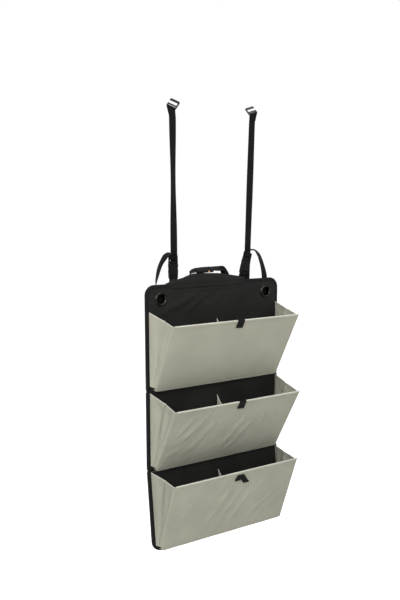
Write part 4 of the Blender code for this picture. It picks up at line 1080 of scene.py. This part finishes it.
def hanging_strap(side_name, side):
    """Webbing from its sewn foot up to the hook's bar, with a slight twist, and back down over itself."""
    pitch = HOOK_PITCH[side_name]
    roll = Matrix.Rotation(-side * HOOK_ROLL, 3, "Y")
    turn = roll @ Matrix.Rotation(pitch, 3, "X")
    bar = Vector((0.005 + side * 0.151, 0.0, 0.0)) + turn @ Vector((0.0, 0.0, (0.0045 - 0.029) / 2))
    facing = -math.copysign(1.0, pitch)
    base_x = -0.005 + side * 0.1425
    over_anchor = SEWN_Y + WEBBING + GAP - STRAP_Y
    start = Vector((base_x, 0.0, TOP_Z))
    finish = Vector((bar.x, 0.0, bar.z - 0.032))
    points = [
        Vector((base_x, over_anchor, TOP_Z - 0.060)),
        Vector((base_x, over_anchor, TOP_Z - 0.018)),
        Vector((base_x, 0.0, TOP_Z - 0.012)),
        start,
    ]
    sides = [RIGHT] * len(points)
    twist_from = 0.135 / (finish - start).length
    for step in range(29):
        points.append(start.lerp(finish, twist_from + (1.0 - twist_from) * step / 28))
        twist = STRAP_TWIST[side_name] * math.sin(math.pi * step / 28) ** 2
        sides.append(Vector((math.cos(twist), math.sin(twist), 0.0)))
    for step in range(15):
        angle = math.radians(-10.0 + 200.0 * step / 14)
        out = Vector((0.0, facing * math.cos(angle), math.sin(angle)))
        points.append(bar + roll @ out * HOOK_WRAP)
    run_y = (bar.y + facing * HOOK_WRAP) * (1.0 - 0.022 / 0.032)
    points.append(Vector((bar.x, run_y - facing * (WEBBING + 4 * GAP), bar.z - 0.022)))
    sides += [turn @ RIGHT] * 16
    points, sides = denser(points, sides)
    label = f"{side_name}_strap"
    strap(f"{label}_webbing", points, sides, "upper_section", replaces=[f"{side_name}_hanging_strap"])
    box_stitch(f"{label}_box_stitch", base_x, over_anchor + WEBBING / 2, -0.057, -0.034)


def mouth(side_name):
    """Where the plug meets the socket of a buckle."""
    return Vector((BUCKLE_X[side_name], FRONT_Y + BUCKLE_Y, 0.0610 + TOP_Z))


def at_buckle(side_name):
    return Matrix.Translation(mouth(side_name)) @ Matrix.Rotation(BUCKLE_LEAN[side_name], 4, "Y")


def anchor_strap(side_name):
    """Webbing from the panel's back up round the socket's bar, and the doubled end in the socket's slot."""
    bar_z = -0.0445 + 0.0045 / 2
    top_z = -0.0610 / math.cos(BUCKLE_LEAN[side_name])
    sewn, clear = SEWN_Y - BUCKLE_Y, ANCHOR_Y - BUCKLE_Y
    route = [(sewn, top_z - 0.040), (sewn, top_z - 0.018), (clear, top_z - 0.012), (clear, bar_z - BAR_WRAP)]
    for step in range(15):
        angle = math.pi * step / 14
        route.append((BAR_WRAP * math.cos(angle), bar_z + BAR_WRAP * math.sin(angle)))
    route.append((clear - WEBBING - 4 * GAP, bar_z - 0.011))
    points, sides = denser([Vector((0.0, y, z)) for y, z in route], [RIGHT] * len(route))
    place = at_buckle(side_name)
    replaced = [f"{side_name}_buckle_anchor_strap"]
    strap(f"{side_name}_anchor_webbing", points, sides, "upper_section", place, replaced)
    points = [Vector((0.0, -0.0036 + 0.0012 * k, -0.0364)) for k in range(7)]
    strap(f"{side_name}_anchor_fold", points, [RIGHT] * 7, "upper_section", place, thick=0.0022)


def closing_strap(side_name, side):
    """Webbing from the plug's ladder over the panel's top corner and down its back."""
    lean = Matrix.Rotation(BUCKLE_LEAN[side_name], 3, "Y")
    origin = mouth(side_name)
    bar_z = 0.0092 + 0.0050 + 0.0030 / 2
    route = [(LADDER_WRAP, bar_z + 0.016)]
    for step in range(13):
        angle = -math.pi * step / 12
        route.append((LADDER_WRAP * math.cos(angle), bar_z + LADDER_WRAP * math.sin(angle)))
    route.append((-LADDER_WRAP, 0.0262 + 2 * WEBBING))
    points = [origin + lean @ Vector((0.0, y, z)) for y, z in route]
    sides = [lean @ RIGHT] * len(points)
    leave = points[-1]
    way = [(*leave, 0.0)]
    way += [(x, FRONT_Y + depth, TOP_Z + height, turn) for x, depth, height, turn in CLOSING_RUN[side_name]]
    flat = way[-1][-1]
    end_x = side * (HALF - 0.046)
    back = FRONT_Y + SEWN_Y
    way.append((end_x, back + 0.0030, TOP_Z - 0.150, flat))
    way.append((end_x, back, TOP_Z - 0.252, flat))
    way.append((end_x, back, TOP_Z - 0.294, flat))
    for x, y, z, turn in smooth_run(way, 8)[1:]:
        points.append(Vector((x, y, z)))
        sides.append(Vector((math.cos(math.radians(turn)), math.sin(math.radians(turn)), 0.0)))
    label = f"{side_name}_closing"
    obj = strap(f"{label}_webbing", points, sides, None, replaces=[f"{label}_strap"])
    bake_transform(obj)
    box_stitch(f"{label}_box_stitch", end_x, back + WEBBING / 2, -0.291, -0.258)


for side_name, side in SIDES:
    hanging_strap(side_name, side)
    anchor_strap(side_name)
    closing_strap(side_name, side)


# Folds between the sections


def fold_strip(label, route):
    """Cloth strip between two sections, with slight ripples where it bends."""
    half = SEAM - 0.0022

    def at(x, k):
        y, z, ripples = route[k]
        y += ripples * 0.0005 * math.sin(x * 70.0 + k)
        return (x, y, z), (x, y + CLOTH, z), (x, z)

    bm = slab(steps_to(-half, half, 0.009), range(len(route)), at)
    obj = finish_piece(f"{label}_cloth", bm, Matrix(), BLACK, None, [f"{label}_strip"])
    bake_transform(obj)


def edge_bridge(above, below, side_name, side):
    """Binding that carries the side edge over a fold, slightly pinched in the middle."""
    rings = []
    inner = HALF - 0.0125
    for k in range(9):
        share = k / 8
        outer = HALF - 0.0006 - 0.0010 * math.sin(math.pi * share)
        shell = [(inner, -0.0006), (outer - 0.0030, -0.0008), (outer - 0.0008, 0.0004), (outer, 0.0028)]
        lining = [(inner, 0.0006), (outer - 0.0035, 0.0006), (outer - 0.0013, 0.0030)]
        profile = [*shell, *((x, BOARD - y) for x, y in reversed(shell))]
        profile += [*((x, BOARD - y) for x, y in lining), *reversed(lining)]
        ring = []
        for x, y in profile:
            start = PLACE[above] @ Vector((side * x, y, 0.0004))
            ring.append(start.lerp(PLACE[below] @ Vector((side * x, y, POCKET_HEIGHT - 0.0004)), share))
        rings.append(ring)
    label = f"{above}_{side_name}_edge_bridge"
    obj = finish_piece(label, sweep(rings), Matrix(), BINDING, None, smooth=50.0)
    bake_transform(obj)


upper_y = FRONT_Y - GAP - 0.001
heights = (-0.853, -0.857, -0.860, -0.8625, -0.865, -0.8675, -0.870, -0.873, -0.877)
upper_route = [(upper_y, z, 1.0 if -0.870 < z < -0.860 else 0.0) for z in heights]
fold_strip("upper_fold", upper_route)
lower_route = []
for along in (0.012, 0.008, 0.005, 0.0025, 0.0, -0.0025, -0.005, -0.008, -0.012):
    tilt = 0.0 if along >= 0 else TILT
    y = FRONT_Y + BOARD + GAP + along * math.sin(tilt)
    lower_route.append((y, LOWER_FOLD_Z + along * math.cos(tilt), 1.0 if abs(along) < 0.004 else 0.0))
fold_strip("lower_fold", lower_route)
for above, below in zip(NAMES, NAMES[1:]):
    for side_name, side in SIDES:
        edge_bridge(above, below, side_name, side)


# Flap and handle

CROWN = metres(  # x and height of the flap's top edge
    (
        (-1880, 18), (-1790, 34), (-1715, 62), (-1665, 106), (-1625, 150), (-1540, 150), (-1430, 132),
        (-1330, 144), (-1200, 176), (-1050, 226), (-930, 262), (-800, 284), (-400, 276), (110, 252),
        (220, 242), (590, 182), (790, 148), (1020, 112), (1180, 72),
    )
)
HANDLE_RUN = metres(  # x, y, height, forward tilt, and turn about the vertical
    (
        (-850, 200, 90, 0.0, -38.0), (-875, 155, 195, 0.0, -38.0), (-900, 120, 272, 4.0, -32.0),
        (-845, 104, 322, 12.0, -14.0), (-700, 100, 368, 22.0, 0.0), (-380, 100, 388, 24.0, 0.0),
        (-80, 100, 392, 26.0, 0.0), (130, 98, 388, 32.0, 0.0), (250, 98, 385, 32.0, 0.0),
        (350, 105, 360, 22.0, 0.0), (400, 115, 300, 8.0, 0.0), (415, 125, 200, 0.0, 0.0),
        (420, 130, 110, 0.0, 0.0),
    ),
    plain=2,
)
# The right end is folded over its corner. Both edges of the fold: distance along its line, and height.
CORNER_OUTER = metres(
    (
        (30, 455), (120, 462), (225, 468), (290, 443), (338, 388), (385, 315), (417, 258), (452, 170),
        (480, 70),
    )
)
CORNER_INNER = metres(
    (
        (30, 330), (75, 326), (120, 320), (158, 305), (170, 275), (174, 235), (176, 195), (178, 140),
        (180, 70),
    )
)
CORNER_LINE = Vector((0.815, -0.58, 0.0))  # the fold's line, seen from above
CORNER_FACE = Vector((0.58, 0.815, 0.0))  # square to it, away from the viewer
GRIP_POINTS = (4, 6)  # the wrap covers the handle between these two points of its run
VOXEL = 0.0016  # size of the even mesh that a padded piece gets before it swells
FRAMES = 20


def puff(obj, pressure, cap, pinned):
    """Swells a padded piece with a short cloth simulation, and keeps the result in its mesh.

    pinned says how firmly a point is held, from 0 to 1.
    """
    modifier = obj.modifiers.new("even", "REMESH")
    modifier.mode = "VOXEL"
    modifier.voxel_size = VOXEL
    bpy.context.view_layer.update()
    rest = [v.co.copy() for v in applied(obj).vertices]
    group = obj.vertex_groups.new(name="held")
    for i, point in enumerate(rest):
        group.add([i], pinned(point), "REPLACE")
    cloth = obj.modifiers.new("swell", "CLOTH")
    cloth.settings.use_pressure = True
    cloth.settings.uniform_pressure_force = pressure
    cloth.settings.effector_weights.gravity = 0.0
    cloth.settings.vertex_group_mass = "held"
    cloth.point_cache.frame_end = FRAMES
    for number in range(1, FRAMES + 1):
        bpy.context.scene.frame_set(number)
    for i, v in enumerate(applied(obj).vertices):
        way = v.co - rest[i]
        if way.length > cap:
            v.co = rest[i] + way * (cap / way.length)
    bpy.context.scene.frame_set(1)
    bm = bmesh.new()
    bm.from_mesh(obj.data)
    bmesh.ops.smooth_vert(bm, verts=bm.verts, factor=0.4, use_axis_x=True, use_axis_y=True, use_axis_z=True)
    layer = bm.loops.layers.uv.new("cloth")
    for face in bm.faces:
        for loop in face.loops:
            loop[layer].uv = (loop.vert.co.x, loop.vert.co.z + loop.vert.co.y)
    bm.to_mesh(obj.data)
    bm.free()
    obj.data.shade_smooth()


def flap():
    """The padded flap on the panel's top edge, low at its left end."""
    inside = -STAND - GAP
    outside = inside - 0.0010
    back = BOARD
    middle = (outside + back) / 2
    rings = []
    low_end, rest = CROWN[:5], steps_to(CROWN[4][0], CROWN[-1][0], 0.007)[1:]
    for x, height in [*low_end, *((x, level_at(CROWN, x)) for x in rest)]:
        lap = -0.0030 - 0.0120 * fade((x - CROWN[0][0]) / 0.030)
        profile = [
            (inside, lap), (inside, 0.0006), (back - 0.0005, 0.0006), (back - 0.0005, height * 0.45),
            (back - 0.0012, height * 0.90), (middle + 0.0025, height), (middle - 0.0025, height),
            (outside + 0.0012, height * 0.93), (outside, height * 0.45),
            (outside, lap * 0.4), (outside, lap),
        ]
        rings.append([(x, y, z) for y, z in profile])
    bm = sweep(rings)
    obj = finish_piece("handle_flap_cloth", bm, TOP_PLACE, BLACK, None, ["handle_flap"])
    puff(obj, 3.0, 0.0025, lambda p: 1.0 if p.z < TOP_Z + 0.003 or p.x < -0.132 else 0.15)
    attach(obj, "upper_section")
    seam = [(x, outside - 0.0001, -0.0125) for x in steps_to(-0.150, 0.114)]
    run = [(TOP_PLACE @ Vector(p), FORWARD) for p in seam]
    stitches("handle_flap_stitching", [run], 0.0001, "upper_section", THREAD_BLACK)


def corner_fold():
    """The handle's webbing, folded over its right corner and led down behind the flap."""
    edges = list(zip(smooth_run(CORNER_OUTER, 4), smooth_run(CORNER_INNER, 4)))
    half_thick = CORNER_FACE * 0.0007

    def at(i, share):
        (a, high), (b, low) = edges[i]
        along = a + (b - a) * share
        away = 0.0265 + 0.182 * (along - 0.003)
        place = CORNER_LINE * along + CORNER_FACE * away + UP * (high + (low - high) * share)
        return place - half_thick, place + half_thick, (i * 0.0025, share * WIDE)

    bm = slab(range(len(edges)), shares(5), at)
    finish_piece("handle_corner_fold", bm, TOP_PLACE, STRAP, "upper_section", smooth=50.0)


def handle():
    """The carry handle's webbing, and the padded wrap in its middle."""
    steps = 6
    run = smooth_run(HANDLE_RUN, steps)
    points = [Vector(row[:3]) for row in run]
    sides = []
    for row in run:
        t, r = math.radians(row[3]), math.radians(row[4])
        sides.append(Vector((-math.sin(r) * math.cos(t), math.cos(r) * math.cos(t), math.sin(t))))
    strap("handle_webbing", points, sides, "upper_section", TOP_PLACE, ["carry_handle"], 0.0023)
    first, last = (point * steps for point in GRIP_POINTS)
    rings = []
    for i in range(first, last + 1):
        centre, side = points[i] - UP * 0.0011, sides[i]
        up = (points[i + 1] - points[i - 1]).normalized().cross(side).normalized()
        if up.z < 0:
            up = -up
        ring = []
        for k in range(20):
            angle = 2 * math.pi * k / 20
            c, s = math.cos(angle), math.sin(angle)
            wide = 0.0145 * math.copysign(abs(c) ** 0.55, c)
            tall = (0.0040 if s > 0 else 0.0064) * math.copysign(abs(s) ** 0.75, s)
            ring.append(centre + side * wide + up * tall)
        rings.append(ring)
    bm = sweep(rings)
    obj = finish_piece("handle_grip_pad", bm, TOP_PLACE, STRAP, None, ["handle_grip_wrap"])
    puff(obj, 2.0, 0.0012, lambda p: 0.2)
    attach(obj, "upper_section")


flap()
handle()
corner_fold()


# Materials of the rigid pieces, which keep their solids

finishes = {"handle_stud": STUD, **{f"{name}_stiffener": BOARD_CORE for name in NAMES}}
for side_name, _ in SIDES:
    finishes[f"{side_name}_strap_hook"] = HOOK
    for part in ("buckle_socket", "buckle_plug"):
        finishes[f"{side_name}_{part}"] = PLASTIC
    for part in ("eyelet", "eyelet_washer"):
        finishes[f"{side_name}_{part}"] = EYELET_METAL
for node, material in finishes.items():
    NODES[node].data.materials.clear()
    NODES[node].data.materials.append(material)


# Floor, light and camera

WHITE = (1.0, 1.0, 1.0, 1.0)


def floor():
    """A pale floor that shows as the plain ground of the picture."""
    bm = bmesh.new()
    bmesh.ops.create_grid(bm, x_segments=2, y_segments=2, size=8.0)
    obj = mesh_object("floor", bm)
    obj.location = (0.0, 2.0, -1.80)
    m = Nodes(bpy.data.materials.new("pale_floor"))
    shader = m.tree.nodes["Principled BSDF"]
    m.put(shader, {"Base Color": (0.82, 0.82, 0.82, 1.0), "Roughness": 0.9})
    glow = m.add("ShaderNodeEmission", {"Color": WHITE, "Strength": m.math("MULTIPLY", m.seen(), 0.72)})
    total = m.add("ShaderNodeAddShader", {0: shader.outputs[0], 1: glow.outputs[0]})
    m.put(m.tree.nodes["Material Output"], {"Surface": total.outputs[0]})
    obj.data.materials.append(m.owner)


def world():
    """Soft light from all round, and plain white where the picture looks past the floor."""
    made = bpy.data.worlds.new("studio")
    bpy.context.scene.world = made
    m = Nodes(made)
    m.tree.nodes.clear()
    light, ground = (m.add("ShaderNodeBackground", {"Color": WHITE, "Strength": s}) for s in (0.42, 1.0))
    mix = m.add("ShaderNodeMixShader", {0: m.seen(), 1: light.outputs[0], 2: ground.outputs[0]})
    m.add("ShaderNodeOutputWorld", {"Surface": mix.outputs[0]})


def lamp(name, place, target, size, watts):
    data = bpy.data.lights.new(name, "AREA")
    data.shape = "RECTANGLE"
    data.size, data.size_y = size
    data.energy = watts
    obj = new_object(name, data)
    obj.location = place
    obj.rotation_euler = (Vector(target) - Vector(place)).to_track_quat("-Z", "Y").to_euler()


def camera(place, azimuth, elevation, roll):
    """A camera that looks from a place along three angles in degrees."""
    azimuth, elevation, roll = math.radians(azimuth), math.radians(elevation), math.radians(roll)
    level = math.cos(elevation)
    back = Vector((math.sin(azimuth) * level, -math.cos(azimuth) * level, math.sin(elevation)))
    right = UP.cross(back).normalized()
    up = back.cross(right)
    c, s = math.cos(roll), math.sin(roll)
    x_axis, y_axis = c * right + s * up, c * up - s * right
    data = bpy.data.cameras.new("camera")
    data.sensor_width = 36.0
    data.lens = 48.0
    obj = new_object("camera", data)
    obj.matrix_world = Matrix.Translation(place) @ Matrix((x_axis, y_axis, back)).transposed().to_4x4()
    bpy.context.scene.camera = obj


floor()
world()
lamp("key", (-2.45, -2.45, 1.1), (0.0, 0.0, -0.9), (2.4, 2.4), 118.0)
lamp("glint", (-3.0, -0.9, 1.2), (0.0, 0.0, -0.7), (0.5, 0.5), 14.0)
lamp("fill", (2.6, -2.2, -0.2), (0.0, 0.0, -0.9), (2.2, 2.6), 16.0)
lamp("top", (0.0, -0.6, 1.9), (0.0, 0.0, -0.8), (2.0, 2.0), 40.0)
camera((-1.5056, -2.0459, -0.3249), -35.42, 6.231, -0.304)
bpy.context.scene.view_settings.view_transform = "Standard"
